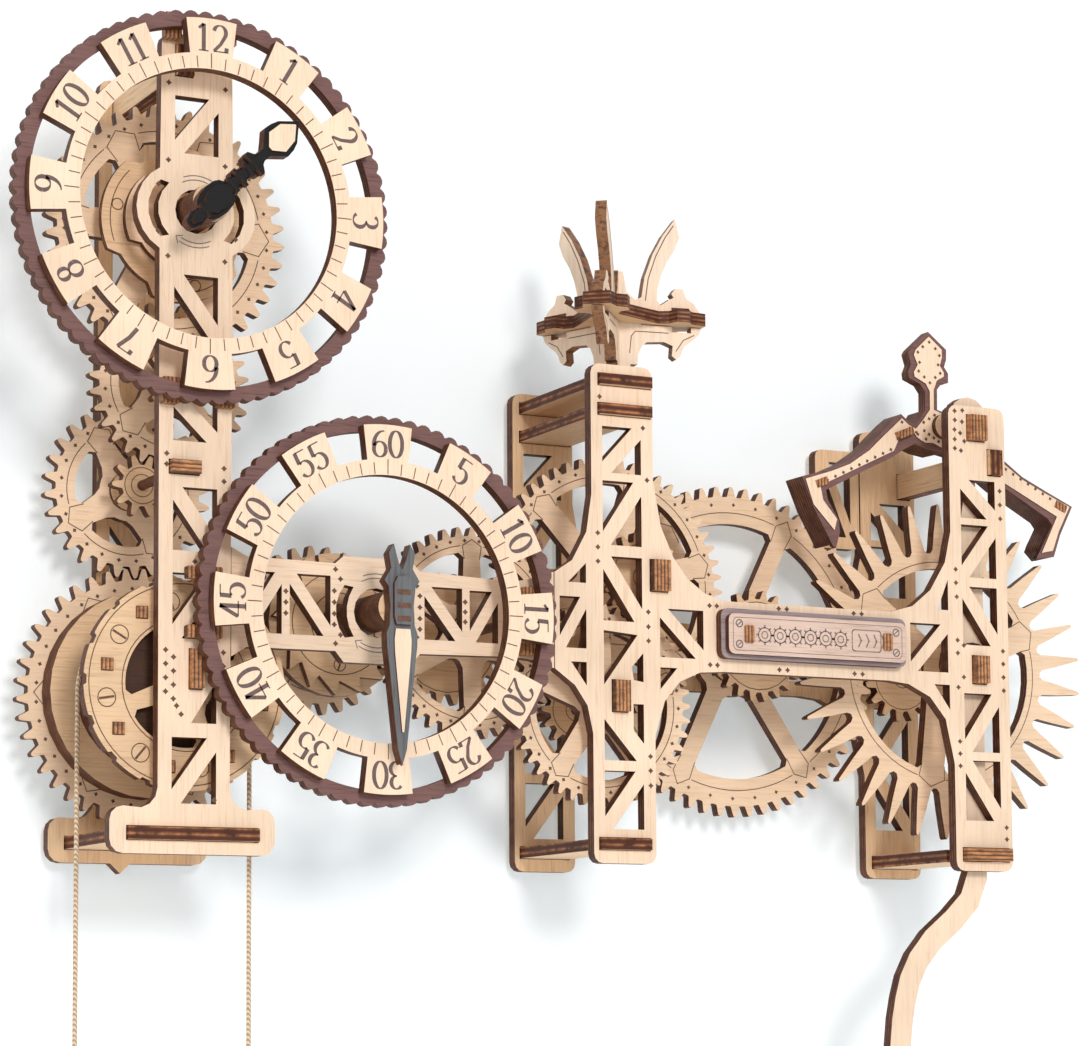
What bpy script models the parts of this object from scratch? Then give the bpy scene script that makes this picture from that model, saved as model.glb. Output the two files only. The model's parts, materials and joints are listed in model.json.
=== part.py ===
"""Wall-hung mechanical clock built from laser-cut plywood sheets.

Three truss towers carry two dials, a weight-driven going train, an anchor
escapement and a pendulum.  The wall is the plane y = 0, the clock looks
towards -Y, and z = 0 is the level of the cross bar.
All design numbers are millimetres; MM turns them into metres.
"""
import math

import bmesh
import bpy
from mathutils import Vector

# ---------------------------------------------------------------- driving sizes
MM = 0.001
PLY = 4.0                  # sheet thickness
FIT = 0.3                  # clearance between pieces that touch
WHEEL_T = 3.6              # a sanded wheel, so neighbours in the next layer clear it

TOWER_W = 22.0
LEFT_X = -140.6            # tower centre lines
CENTRE_X = 0.0
RIGHT_X = 132.8

# front faces of the layers, measured from the wall
FRONT_Y = -57.5            # front frames
BACK_Y = -4.0              # back frames
RIM_Y = -64.6              # dial rims
FACE_Y = -68.9             # dial faces
HOUR_HAND_Y = -73.5
MINUTE_HAND_Y = -75.5
LOWER_Y = -48.9            # lower centre wheel and its mate
DRUM_Y = -50.5             # front disc of the weight drum
ESCAPE_Y = -35.3
HOUR_Y = -33.3             # hour wheel and the pinion that drives it
SECOND_Y = -31.3           # second wheel and its mate
UPPER_Y = -27.3            # upper centre wheel and its mate
REDUCTION_Y = -25.3        # reduction wheel and its mate
TRAIN_Y = -13.3            # drum wheel, minute wheel, idler
GREAT_Y = -11.3            # great wheel and the escape pinion
ROD_Y = -53.0              # pendulum rod

ARBOR_R = 1.5
BORE_R = ARBOR_R + FIT
ARBOR_FRONT = FRONT_Y + PLY + FIT
ARBOR_BACK = BACK_Y - FIT

# ------------------------------------------------------------------ wheel train
TRAIN_MODULE = 1.77
DRUM_T = 42
MINUTE_T = 28
IDLER_T = 28
IDLER_PINION_T = 10
REDUCTION_T = 30
REDUCTION_PINION_T = 10
HOUR_T = 40
SECOND_PINION_T = 22
SECOND_T = 42
LOWER_PINION_T = 14
LOWER_T = 42
UPPER_PINION_T = 18
UPPER_T = 52
GREAT_PINION_T = 22
GREAT_T = 60
ESCAPE_PINION_T = 15
ESCAPE_T = 30


def beside(start, distance, x=None, z=None):
    """Point at a distance from start, to its right at height z or above it at x."""
    if z is not None:
        return (start[0] + math.sqrt(distance ** 2 - (z - start[1]) ** 2), z)
    return (x, start[1] + math.sqrt(distance ** 2 - (x - start[0]) ** 2))


def centre_distance(teeth_a, teeth_b, module):
    return (teeth_a + teeth_b) * module / 2


DRUM = (LEFT_X, -27.0)
IDLER = beside(DRUM, centre_distance(DRUM_T, IDLER_T, TRAIN_MODULE), x=-145.0)
MINUTE = beside(DRUM, centre_distance(DRUM_T, MINUTE_T, TRAIN_MODULE), z=-3.9)
SECOND = beside(MINUTE, centre_distance(MINUTE_T, SECOND_PINION_T, TRAIN_MODULE), z=-4.5)
REDUCTION = (-136.2, 65.8)
HOUR = (LEFT_X, 111.0)
LOWER = (-3.0, -27.2)
UPPER = (11.8, 13.5)
GREAT = (66.5, -3.0)
ESCAPE = (RIGHT_X, -9.0)
PIVOT = (RIGHT_X, 72.6)    # anchor and pendulum

DIAL_R = 57.8
HOUR_DIAL = HOUR
MINUTE_DIAL = (-84.6, -4.0)


# ---------------------------------------------------------------- scene helpers
def clear_scene():
    for obj in list(bpy.data.objects):
        bpy.data.objects.remove(obj, do_unlink=True)


def new_collection(name):
    collection = bpy.data.collections.new(name)
    bpy.context.scene.collection.children.link(collection)
    return collection


clear_scene()
PARTS = new_collection("wall_clock")
CUTTERS = new_collection("cutters")


def make_material(name, colour, roughness, metallic=0.0):
    material = bpy.data.materials.new(name)
    material.use_nodes = True
    shader = material.node_tree.nodes["Principled BSDF"]
    shader.inputs["Base Color"].default_value = (*colour, 1.0)
    shader.inputs["Roughness"].default_value = roughness
    shader.inputs["Metallic"].default_value = metallic
    material.diffuse_color = (*colour, 1.0)
    return material


COLOURS = {
    "birch": ((0.86, 0.68, 0.48), 0.6),
    "wheel": ((0.80, 0.60, 0.39), 0.6),
    "burnt": ((0.25, 0.11, 0.06), 0.7),
    "mauve": ((0.17, 0.09, 0.085), 0.55),
    "black": ((0.02, 0.018, 0.016), 0.5),
    "cord": ((0.62, 0.50, 0.38), 0.9),
}


def finish(obj, colour, smooth=False):
    """Gives an object its own material, its collection and its shading."""
    base, roughness = COLOURS[colour]
    obj.data.materials.clear()
    obj.data.materials.append(make_material(obj.name, base, roughness))
    for collection in list(obj.users_collection):
        collection.objects.unlink(obj)
    PARTS.objects.link(obj)
    if smooth:
        obj.data.shade_smooth()
        obj.data.set_sharp_from_angle(angle=math.radians(40))
    return obj


# --------------------------------------------------------------- outline helpers
def arc(centre, radius, start, end, count):
    """Points along an arc, ends included; angles in degrees."""
    points = []
    for i in range(count):
        angle = math.radians(start + (end - start) * i / (count - 1))
        points.append((centre[0] + radius * math.cos(angle), centre[1] + radius * math.sin(angle)))
    return points


def ring(radius, count, centre=(0.0, 0.0), turn=0.0):
    step = 360.0 / count
    return arc(centre, radius, turn, turn + 360.0 - step, count)


def box(x0, x1, z0, z1):
    return [(x0, z0), (x1, z0), (x1, z1), (x0, z1)]


def rounded_box(x0, x1, z0, z1, radius, count=4):
    points = arc((x1 - radius, z1 - radius), radius, 0, 90, count)
    points += arc((x0 + radius, z1 - radius), radius, 90, 180, count)
    points += arc((x0 + radius, z0 + radius), radius, 180, 270, count)
    points += arc((x1 - radius, z0 + radius), radius, 270, 360, count)
    return points


def slot(centre, width, height):
    """A hole for a tenon of width by height, with the fitting clearance."""
    return box(centre[0] - width / 2 - FIT, centre[0] + width / 2 + FIT,
               centre[1] - height / 2 - FIT, centre[1] + height / 2 + FIT)


def truss_bay(x0, x1, z0, z1, rising, strut=4.6):
    """Two triangles left and right of one diagonal strut."""
    shift = strut * math.hypot(x1 - x0, z1 - z0) / (z1 - z0)
    slope = strut * math.hypot(x1 - x0, z1 - z0) / (x1 - x0)
    if rising:
        upper = [(x0, z0 + slope / 2), (x1 - shift / 2, z1), (x0, z1)]
        lower = [(x0 + shift / 2, z0), (x1, z0), (x1, z1 - slope / 2)]
    else:
        upper = [(x0 + shift / 2, z1), (x1, z0 + slope / 2), (x1, z1)]
        lower = [(x0, z0), (x1 - shift / 2, z0), (x0, z1 - slope / 2)]
    return [upper, lower]


def tower_bays(centre_x, bays):
    """bays: (low z, high z, diagonal rises to the right)."""
    margin = 4.2
    holes = []
    for low, high, rising in bays:
        holes += truss_bay(centre_x - TOWER_W / 2 + margin, centre_x + TOWER_W / 2 - margin,
                           low, high, rising)
    return holes


# ------------------------------------------------------------------ body helpers
def plate(name, outline, holes, front_y, colour, thickness=PLY, location=(0.0, 0.0)):
    """A sheet standing in the XZ plane, front face at front_y, outline round location."""
    curve = bpy.data.curves.new(name, "CURVE")
    curve.dimensions = "2D"
    curve.fill_mode = "BOTH"
    curve.extrude = thickness * MM / 2
    for loop in [outline] + holes:
        spline = curve.splines.new("POLY")
        spline.points.add(len(loop) - 1)
        for point, (x, z) in zip(spline.points, loop):
            point.co = (x * MM, z * MM, 0.0, 1.0)
        spline.use_cyclic_u = True
    obj = bpy.data.objects.new(name, curve)
    obj.rotation_euler = (math.radians(90), 0.0, 0.0)
    obj.location = (location[0] * MM, (front_y + thickness / 2) * MM, location[1] * MM)
    return finish(obj, colour)


def to_mesh(obj):
    """Replaces a curve object by a welded mesh object of the same name."""
    bpy.context.view_layer.update()
    graph = bpy.context.evaluated_depsgraph_get()
    mesh = bpy.data.meshes.new_from_object(obj.evaluated_get(graph))
    shape = bmesh.new()
    shape.from_mesh(mesh)
    bmesh.ops.remove_doubles(shape, verts=shape.verts, dist=0.00001)
    shape.to_mesh(mesh)
    shape.free()
    name = obj.name
    solid = bpy.data.objects.new(name + "_solid", mesh)
    solid.matrix_world = obj.matrix_world.copy()
    bpy.data.objects.remove(obj, do_unlink=True)
    solid.name = name
    PARTS.objects.link(solid)
    return solid


def cylinder(name, centre, radius, front_y, back_y, colour, sides=12):
    """A round bar along Y; its origin is on its axis."""
    mesh = bpy.data.meshes.new(name)
    shape = bmesh.new()
    bmesh.ops.create_cone(shape, cap_ends=True, segments=sides, radius1=radius * MM,
                          radius2=radius * MM, depth=(back_y - front_y) * MM)
    shape.to_mesh(mesh)
    shape.free()
    obj = bpy.data.objects.new(name, mesh)
    obj.rotation_euler = (math.radians(90), 0.0, 0.0)
    obj.location = (centre[0] * MM, (front_y + back_y) / 2 * MM, centre[1] * MM)
    return finish(obj, colour, smooth=True)


def block(name, low, high, colour):
    mesh = bpy.data.meshes.new(name)
    shape = bmesh.new()
    bmesh.ops.create_cube(shape, size=1.0)
    size = Vector([(b - a) * MM for a, b in zip(low, high)])
    bmesh.ops.scale(shape, vec=size, verts=shape.verts)
    shape.to_mesh(mesh)
    shape.free()
    obj = bpy.data.objects.new(name, mesh)
    obj.location = [(a + b) / 2 * MM for a, b in zip(low, high)]
    return finish(obj, colour)


def turned(name, centre, profile, colour, steps=28):
    """A closed (radius, y) profile turned about an axis along Y at centre."""
    mesh = bpy.data.meshes.new(name)
    shape = bmesh.new()
    verts = [shape.verts.new((radius * MM, 0.0, -y * MM)) for radius, y in profile]
    for i, vert in enumerate(verts):
        shape.edges.new((vert, verts[(i + 1) % len(verts)]))
    shape.to_mesh(mesh)
    shape.free()
    obj = bpy.data.objects.new(name, mesh)
    screw = obj.modifiers.new("turn", "SCREW")
    screw.axis = "Z"
    screw.steps = steps
    screw.render_steps = steps
    screw.use_merge_vertices = True
    screw.merge_threshold = 0.00001
    obj.rotation_euler = (math.radians(90), 0.0, 0.0)
    obj.location = (centre[0] * MM, 0.0, centre[1] * MM)
    return finish(obj, colour)


def tube(name, route, radius, colour):
    """A cord: a closed tube along a list of points in millimetres."""
    curve = bpy.data.curves.new(name, "CURVE")
    curve.dimensions = "3D"
    curve.bevel_depth = radius * MM
    curve.bevel_resolution = 2
    curve.use_fill_caps = True
    spline = curve.splines.new("POLY")
    spline.points.add(len(route) - 1)
    for point, place in zip(spline.points, route):
        point.co = (*[value * MM for value in place], 1.0)
    obj = bpy.data.objects.new(name, curve)
    return finish(obj, colour)


def boolean(obj, other, operation):
    """Keeps other as a hidden guide and applies it to obj through a modifier."""
    for collection in list(other.users_collection):
        collection.objects.unlink(other)
    CUTTERS.objects.link(other)
    other.hide_render = True
    other.display_type = "WIRE"
    modifier = obj.modifiers.new(other.name, "BOOLEAN")
    modifier.operation = operation
    modifier.object = other
    modifier.solver = "EXACT"


# ------------------------------------------------------------------------ gears
ADDENDUM = 0.82            # tooth heights over and under the pitch circle, in modules
DEDENDUM = 1.15
TOOTH_AT_TIP = 0.085       # half widths, in tooth pitches
TOOTH_AT_ROOT = 0.29


def gear_outline(teeth, module, phase):
    """Straight-sided teeth; phase is the direction of one tooth, in degrees."""
    pitch_r = teeth * module / 2
    tip_r = pitch_r + ADDENDUM * module
    root_r = pitch_r - DEDENDUM * module
    step = 360.0 / teeth
    points = []
    for i in range(teeth):
        middle = phase + i * step
        for offset, radius in ((-TOOTH_AT_ROOT, root_r), (-TOOTH_AT_TIP, tip_r),
                               (TOOTH_AT_TIP, tip_r), (TOOTH_AT_ROOT, root_r)):
            angle = math.radians(middle + offset * step)
            points.append((radius * math.cos(angle), radius * math.sin(angle)))
    return points


def meshed_phase(centre_a, teeth_a, phase_a, centre_b, teeth_b):
    """Tooth direction of wheel b that puts its gaps on the teeth of wheel a."""
    line = math.degrees(math.atan2(centre_b[1] - centre_a[1], centre_b[0] - centre_a[0]))
    gap = line + 180.0 - (phase_a - line) * teeth_a / teeth_b
    return gap + 180.0 / teeth_b


def pair_module(centre_a, teeth_a, centre_b, teeth_b):
    distance = math.hypot(centre_b[0] - centre_a[0], centre_b[1] - centre_a[1])
    return 2 * distance / (teeth_a + teeth_b)


def spoke_windows(hub_r, rim_r, spokes, first, width, rim_points=5):
    """Openings between radial spokes; first is the direction of one spoke."""
    windows = []
    step = 360.0 / spokes
    for i in range(spokes):
        low = first + i * step
        outer = math.degrees(math.asin(width / 2 / rim_r))
        inner = math.degrees(math.asin(width / 2 / hub_r))
        windows.append(arc((0, 0), rim_r, low + outer, low + step - outer, rim_points)
                       + arc((0, 0), hub_r, low + step - inner, low + inner, 2))
    return windows


def wheel(name, centre, teeth, module, phase, front_y, spokes, first, hub_r, rim_w,
          spoke_w=8.5, rim_points=5):
    """A toothed wheel with spokes, its origin on its axis."""
    rim_r = teeth * module / 2 - DEDENDUM * module - rim_w
    holes = [ring(BORE_R, 12)]
    holes += spoke_windows(hub_r, rim_r, spokes, first, spoke_w, rim_points)
    return plate(name, gear_outline(teeth, module, phase), holes, front_y, "wheel",
                 WHEEL_T, centre)


def pinion(name, centre, teeth, module, phase, front_y, back=ARBOR_BACK):
    """A pinion and the arbor it is fixed on, as one body."""
    blank = plate(name, gear_outline(teeth, module, phase), [], front_y, "wheel",
                  WHEEL_T, centre)
    body = to_mesh(blank)
    arbor = cylinder(name + "_rod", centre, ARBOR_R, ARBOR_FRONT, back, "wheel")
    boolean(body, arbor, "UNION")
    return finish(body, "wheel")


# --------------------------------------------------------------- phases at rest
GREAT_PHASE = 0.0
ESCAPE_PINION_PHASE = meshed_phase(GREAT, GREAT_T, GREAT_PHASE, ESCAPE, ESCAPE_PINION_T)
GREAT_PINION_PHASE = 0.0
UPPER_PHASE = meshed_phase(GREAT, GREAT_PINION_T, GREAT_PINION_PHASE, UPPER, UPPER_T)
UPPER_PINION_PHASE = 0.0
LOWER_PHASE = meshed_phase(UPPER, UPPER_PINION_T, UPPER_PINION_PHASE, LOWER, LOWER_T)
LOWER_PINION_PHASE = 0.0
SECOND_PHASE = meshed_phase(LOWER, LOWER_PINION_T, LOWER_PINION_PHASE, SECOND, SECOND_T)
SECOND_PINION_PHASE = 0.0
MINUTE_PHASE = meshed_phase(SECOND, SECOND_PINION_T, SECOND_PINION_PHASE, MINUTE, MINUTE_T)
DRUM_PHASE = meshed_phase(MINUTE, MINUTE_T, MINUTE_PHASE, DRUM, DRUM_T)
IDLER_PHASE = meshed_phase(DRUM, DRUM_T, DRUM_PHASE, IDLER, IDLER_T)
IDLER_PINION_PHASE = 0.0
REDUCTION_PHASE = meshed_phase(IDLER, IDLER_PINION_T, IDLER_PINION_PHASE,
                               REDUCTION, REDUCTION_T)
REDUCTION_PINION_PHASE = 0.0
HOUR_PHASE = meshed_phase(REDUCTION, REDUCTION_PINION_T, REDUCTION_PINION_PHASE,
                          HOUR, HOUR_T)

# the module of each mesh follows from its centre distance
HOUR_MODULE = pair_module(HOUR, HOUR_T, REDUCTION, REDUCTION_PINION_T)
REDUCTION_MODULE = pair_module(REDUCTION, REDUCTION_T, IDLER, IDLER_PINION_T)
SECOND_MODULE = pair_module(SECOND, SECOND_T, LOWER, LOWER_PINION_T)
LOWER_MODULE = pair_module(LOWER, LOWER_T, UPPER, UPPER_PINION_T)
UPPER_MODULE = pair_module(UPPER, UPPER_T, GREAT, GREAT_PINION_T)
GREAT_MODULE = pair_module(GREAT, GREAT_T, ESCAPE, ESCAPE_PINION_T)


# ------------------------------------------------------------------ tower plates
FOOT_LEFT = (-166.0, -115.5)
BAR_TOP = 6.3
BAR_BOTTOM = -16.0

LEFT_BAYS = ((128.0, 145.0, True), (74.0, 92.0, False), (43.0, 56.0, False),
             (11.0, 29.5, False), (-14.5, 4.5, True), (-62.0, -43.0, True))
CENTRE_BAYS = ((44.0, 58.5, True), (21.5, 41.5, True), (-66.0, -48.2, True))
RIGHT_BAYS = ((38.8, 51.5, False), (19.3, 36.6, True), (-37.9, -18.8, True),
              (-60.2, -40.7, False))

# key tenons in the fronts of the towers: centre, width, height
KEYS = {
    "idler_key": ((IDLER[0] + 1.0, IDLER[1] + 0.5), 9.0, 3.8),
    "drum_key": ((DRUM[0] + 0.4, DRUM[1] + 3.8), 3.8, 11.4),
    "second_key": ((SECOND[0], SECOND[1]), 3.8, 11.0),
    "upper_key": ((UPPER[0] + 1.0, UPPER[1] - 0.6), 6.0, 9.7),
    "lower_key": ((LOWER[0] + 1.7, LOWER[1] + 2.1), 5.2, 9.6),
    "escape_key": ((ESCAPE[0] - 0.7, ESCAPE[1] - 2.0), 5.2, 9.0),
    "anchor_key": ((PIVOT[0] - 0.4, PIVOT[1] - 3.8), 6.6, 8.4),
    "right_base_key": ((133.4, -71.2), 17.8, 4.1),
}
# beams between front and back frames: x range, z range, y range
FULL_DEPTH = (FRONT_Y - 1.6, BACK_Y + PLY - 0.4)
BEAMS = {
    "left_top_beam": ((-147.2, -142.0), (151.0, 160.0), FULL_DEPTH),
    "left_base_shelf": ((-160.7, -120.8), (-72.5, -68.8), FULL_DEPTH),
    "centre_top_beam_upper": ((-8.0, 10.3), (71.4, 74.9), FULL_DEPTH),
    "centre_top_beam_lower": ((-8.1, 10.2), (62.1, 65.6), FULL_DEPTH),
    "centre_base_beam": ((-8.7, 8.7), (-72.3, -68.8), FULL_DEPTH),
    "right_upper_beam": ((137.0, 141.9), (53.6, 62.0), FULL_DEPTH),
    "right_base_beam": ((124.4, 142.3), (-73.2, -69.2), (ROD_Y + PLY + 1.0, BACK_Y + PLY - 0.4)),
}


def key_slot(name):
    centre, width, height = KEYS[name]
    return slot(centre, width, height)


def beam_slot(name):
    (x0, x1), (z0, z1), _ = BEAMS[name]
    return box(x0 - FIT, x1 + FIT, z0 - FIT, z1 + FIT)


def left_tower(name, front_y, front):
    """Tower with a wide foot; the front one carries the hour boss."""
    x0 = LEFT_X - TOWER_W / 2
    x1 = LEFT_X + TOWER_W / 2
    outline = arc((x1 - 3, 160.5), 3, 0, 90, 4) + arc((x0 + 3, 160.5), 3, 90, 180, 4)
    if front:
        outline += arc((LEFT_X - 5.0, HOUR[1]), 13.5, 118, 242, 9)
    outline += [(x0, -58.0)] + arc((x0 - 6, -57.5), 6, 0, -80, 4)
    outline += arc((FOOT_LEFT[0] + 4, -67.0), 4, 90, 180, 4)
    outline += arc((FOOT_LEFT[0] + 4, -72.5), 4, 180, 270, 4)
    if not front:
        outline += [(-146.5, -76.5), (-143.3, -79.5), (-140.1, -76.5)]
    outline += arc((FOOT_LEFT[1] - 4, -72.5), 4, 270, 360, 4)
    outline += arc((FOOT_LEFT[1] - 4, -67.0), 4, 0, 90, 4)
    outline += arc((x1 + 6, -57.5), 6, 260, 180, 4)
    if front:
        outline += arc((LEFT_X + 5.0, HOUR[1]), 13.5, -62, 62, 9)
    holes = tower_bays(LEFT_X, LEFT_BAYS)
    holes += [beam_slot("left_top_beam"), beam_slot("left_base_shelf")]
    if front:
        holes += [ring(6.6, 16, HOUR), key_slot("idler_key"), key_slot("drum_key")]
        for side in (-1, 1):
            outer = arc((LEFT_X + side * 4.0, HOUR[1]), 11.0, 50, -50, 6)
            inner = arc((LEFT_X + side * 1.5, HOUR[1]), 10.4, -48, 48, 6)
            crescent = outer + inner
            if side < 0:
                crescent = [(2 * (LEFT_X - 4.0) - x + 0.0, z) for x, z in outer]
                crescent += [(2 * (LEFT_X - 1.5) - x + 0.0, z) for x, z in inner]
            holes.append(crescent)
        holes.append([(-133.8, -26.5), (-133.8, -38.8), (-141.5, -38.8)])
    else:
        holes += [box(-147.0, -134.2, 98.0, 121.0), box(-147.0, -134.2, -38.0, -19.0)]
    return plate(name, outline, holes, front_y, "birch")


def main_frame(name, front_y, front):
    """Centre tower, cross bar and right tower in one sheet."""
    xc0 = CENTRE_X - 10.7
    xc1 = CENTRE_X + 11.0
    xr0 = 121.8
    xr1 = 143.8
    outline = arc((xc1 - 3, 75.0), 3, 90, 0, 4)
    outline = arc((xc0 + 3, 75.0), 3, 180, 90, 4) + outline
    outline += [(xc1, 42.9), (13.6, 28.5), (18.0, 19.0), (23.0, 12.6), (29.0, 8.4), (36.0, BAR_TOP)]
    outline += [(98.0, BAR_TOP), (106.5, 8.6), (113.5, 14.2), (119.4, 23.6), (xr0, 34.0)]
    outline += arc((xr0 + 3, 73.0), 3, 180, 90, 4) + arc((xr1 - 3, 73.0), 3, 90, 0, 4)
    outline += arc((xr1 - 3, -73.5), 3, 0, -90, 4) + arc((xr0 + 3, -73.5), 3, 270, 180, 4)
    outline += [(xr0, -42.0), (118.6, -27.6), (112.7, -20.6), (104.5, -16.8), (97.0, BAR_BOTTOM)]
    outline += [(36.0, BAR_BOTTOM), (27.1, -16.6), (19.9, -19.8), (14.5, -26.0), (xc1, -37.0)]
    outline += arc((xc1 - 3, -73.5), 3, 0, -90, 4) + arc((xc0 + 3, -73.5), 3, 270, 180, 4)
    if front:
        outline += [(xc0, -37.0), (-12.6, -28.5), (-16.9, -22.4), (-23.7, -17.6)]
        outline += [(-23.7, 12.0), (-17.6, 16.0), (-12.6, 25.0), (xc0, 37.0)]
    holes = tower_bays(CENTRE_X, CENTRE_BAYS) + tower_bays(RIGHT_X, RIGHT_BAYS)
    for beam in ("centre_top_beam_upper", "centre_top_beam_lower", "centre_base_beam",
                 "right_upper_beam"):
        holes.append(beam_slot(beam))
    if front:
        holes += truss_bay(-6.8, 6.8, -2.0, 18.0, False)
        holes.append([(-6.8, -21.8), (5.0, -6.0), (-6.8, -5.0)])
        holes.append([(-6.8, -32.4), (4.4, -45.0), (-6.8, -45.0)])
        holes.append([(3.4, -27.4), (7.0, -27.4), (7.0, -39.6), (3.4, -35.6)])
        holes.append([(7.0, -11.5), (7.0, -20.5), (3.6, -20.0), (2.9, -16.0)])
        holes.append([(-19.0, 9.2), (-12.8, 9.2), (-12.8, 15.4)])
        holes.append([(-12.8, -15.2), (-18.2, -15.2), (-12.8, -22.4)])
        holes += truss_bay(-22.0, -12.8, -11.0, 4.8, True, 3.6)
        holes += truss_bay(13.0, 28.5, -12.4, 2.8, False, 4.0)
        holes.append([(13.0, -15.6), (19.0, -15.6), (13.0, -22.4)])
        holes += truss_bay(105.5, 120.0, -12.4, 3.2, True, 4.0)
        holes.append([(120.4, 18.0), (120.4, 8.0), (116.2, 8.0)])
        holes.append([(114.5, -16.4), (120.4, -16.4), (120.4, -24.5)])
        holes += tower_bays(RIGHT_X, ((-3.0, 16.2, False),))
        for key in ("lower_key", "upper_key", "escape_key", "anchor_key", "right_base_key"):
            holes.append(key_slot(key))
    else:
        holes += tower_bays(RIGHT_X, ((-12.0, 15.5, True),))
        holes += [box(-6.8, 6.8, 5.0, 17.0), box(-6.8, 6.8, -23.0, -5.0)]
        holes += tower_bays(CENTRE_X, ((-45.0, -27.6, False),))
        holes.append(beam_slot("right_base_beam"))
        for left in (22.0, 52.0, 82.0):
            holes += truss_bay(left, left + 24.0, -11.0, 1.6, left == 52.0, 4.0)
    return plate(name, outline, holes, front_y, "birch")


left_tower("left_front_frame", FRONT_Y, True)
left_tower("left_back_frame", BACK_Y, False)
main_frame("main_front_frame", FRONT_Y, True)
main_frame("main_back_frame", BACK_Y, False)

plate("rear_side_plate", rounded_box(104.0, 121.3, 35.0, 68.6, 2.5),
      truss_bay(107.5, 117.8, 39.0, 64.5, False, 3.4), BACK_Y, "birch")

# the arm behind the minute dial
ARM_LEFT = LEFT_X + TOWER_W / 2 + FIT
ARM_RIGHT = -24.0
ARM_TOP = ((ARM_LEFT, 13.0), (-124.5, 10.6), (-96.5, 10.2), (-93.8, 12.5), (-72.0, 12.5),
           (-69.0, 9.4), (-38.0, 8.1), (-31.0, 9.5), (ARM_RIGHT, 12.0))
ARM_BOTTOM = ((ARM_RIGHT, -17.6), (-31.0, -15.4), (-38.0, -14.8), (-69.0, -15.4),
              (-72.0, -19.0), (-93.8, -19.0), (-96.5, -15.8), (-124.5, -16.0), (ARM_LEFT, -19.0))


def arm_plate(name, front_y, front):
    outline = list(ARM_TOP) + list(ARM_BOTTOM)
    holes = truss_bay(-125.0, -113.5, -11.6, 6.4, True, 3.6)
    holes += truss_bay(-111.0, -98.0, -11.6, 6.4, False, 3.6)
    holes += truss_bay(-67.5, -55.0, -11.0, 5.0, False, 3.6)
    if front:
        holes += truss_bay(-52.5, -43.0, -11.0, 4.6, True, 3.4)
        holes.append(ring(7.4, 16, MINUTE))
        crescent = arc((MINUTE[0] - 1.0, MINUTE[1]), 12.2, 140, 220, 6)
        crescent += arc((MINUTE[0] + 3.5, MINUTE[1]), 13.2, 214, 146, 6)
        holes.append(crescent)
        holes.append(key_slot("second_key"))
    else:
        holes += truss_bay(-52.5, -40.0, -11.0, 4.6, True, 3.4)
    return plate(name, outline, holes, front_y, "birch")


arm_plate("arm_front_plate", FRONT_Y, True)
arm_plate("arm_back_plate", BACK_Y, False)

for beam_name, ((bx0, bx1), (bz0, bz1), (by0, by1)) in BEAMS.items():
    block(beam_name, (bx0, by0, bz0), (bx1, by1, bz1), "wheel")
for key_name, (key_centre, key_w, key_h) in KEYS.items():
    block(key_name, (key_centre[0] - key_w / 2, FRONT_Y - 2.4, key_centre[1] - key_h / 2),
          (key_centre[0] + key_w / 2, FRONT_Y + PLY, key_centre[1] + key_h / 2), "wheel")

# --------------------------------------------------------------------- nameplate
PLATE_X = (33.0, 101.5)
PLATE_Z = (-12.0, 3.7)
plate("nameplate_backing", rounded_box(*PLATE_X, *PLATE_Z, 2.4), [],
      FRONT_Y - FIT - 3.0, "mauve", 3.0)
plate("nameplate_panel", rounded_box(PLATE_X[0] + 1.4, PLATE_X[1] - 1.4, PLATE_Z[0] + 1.2,
                                     PLATE_Z[1] - 1.8, 2.0), [],
      FRONT_Y - 2 * FIT - 5.0, "birch", 2.0)

# ------------------------------------------------------------------------- dials
RING_IN = 39.6
RING_OUT = 44.2
PAD_OUT = 54.0
PAD_HALF = 8.2
RIM_IN = 52.2


def dial(prefix, centre):
    """A numeral ring with twelve pads in front of a plain rim."""
    pads = []
    for hour in range(12):
        middle = 90.0 - 30.0 * hour
        pads += arc((0, 0), PAD_OUT, middle + PAD_HALF, middle - PAD_HALF, 4)
        pads += arc((0, 0), RING_OUT, middle - PAD_HALF, middle - 30 + PAD_HALF, 3)
    plate(prefix + "_dial_face", pads, [ring(RING_IN, 48)], FACE_Y, "birch", PLY, centre)
    plate(prefix + "_dial_rim", ring(DIAL_R, 48), [ring(RIM_IN, 48)], RIM_Y, "mauve",
          PLY, centre)


dial("hour", HOUR_DIAL)
dial("minute", MINUTE_DIAL)


def along(base, tip, stations):
    """Closed outline from (distance, half width) stations on the line base to tip."""
    dx = tip[0] - base[0]
    dz = tip[1] - base[1]
    length = math.hypot(dx, dz)
    dx /= length
    dz /= length
    left = [(d * dx - w * dz, d * dz + w * dx) for d, w in stations if w > 0]
    right = [(d * dx + w * dz, d * dz - w * dx) for d, w in reversed(stations) if w > 0]
    end = stations[-1][0]
    return left + [(end * dx, end * dz)] + right


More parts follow.
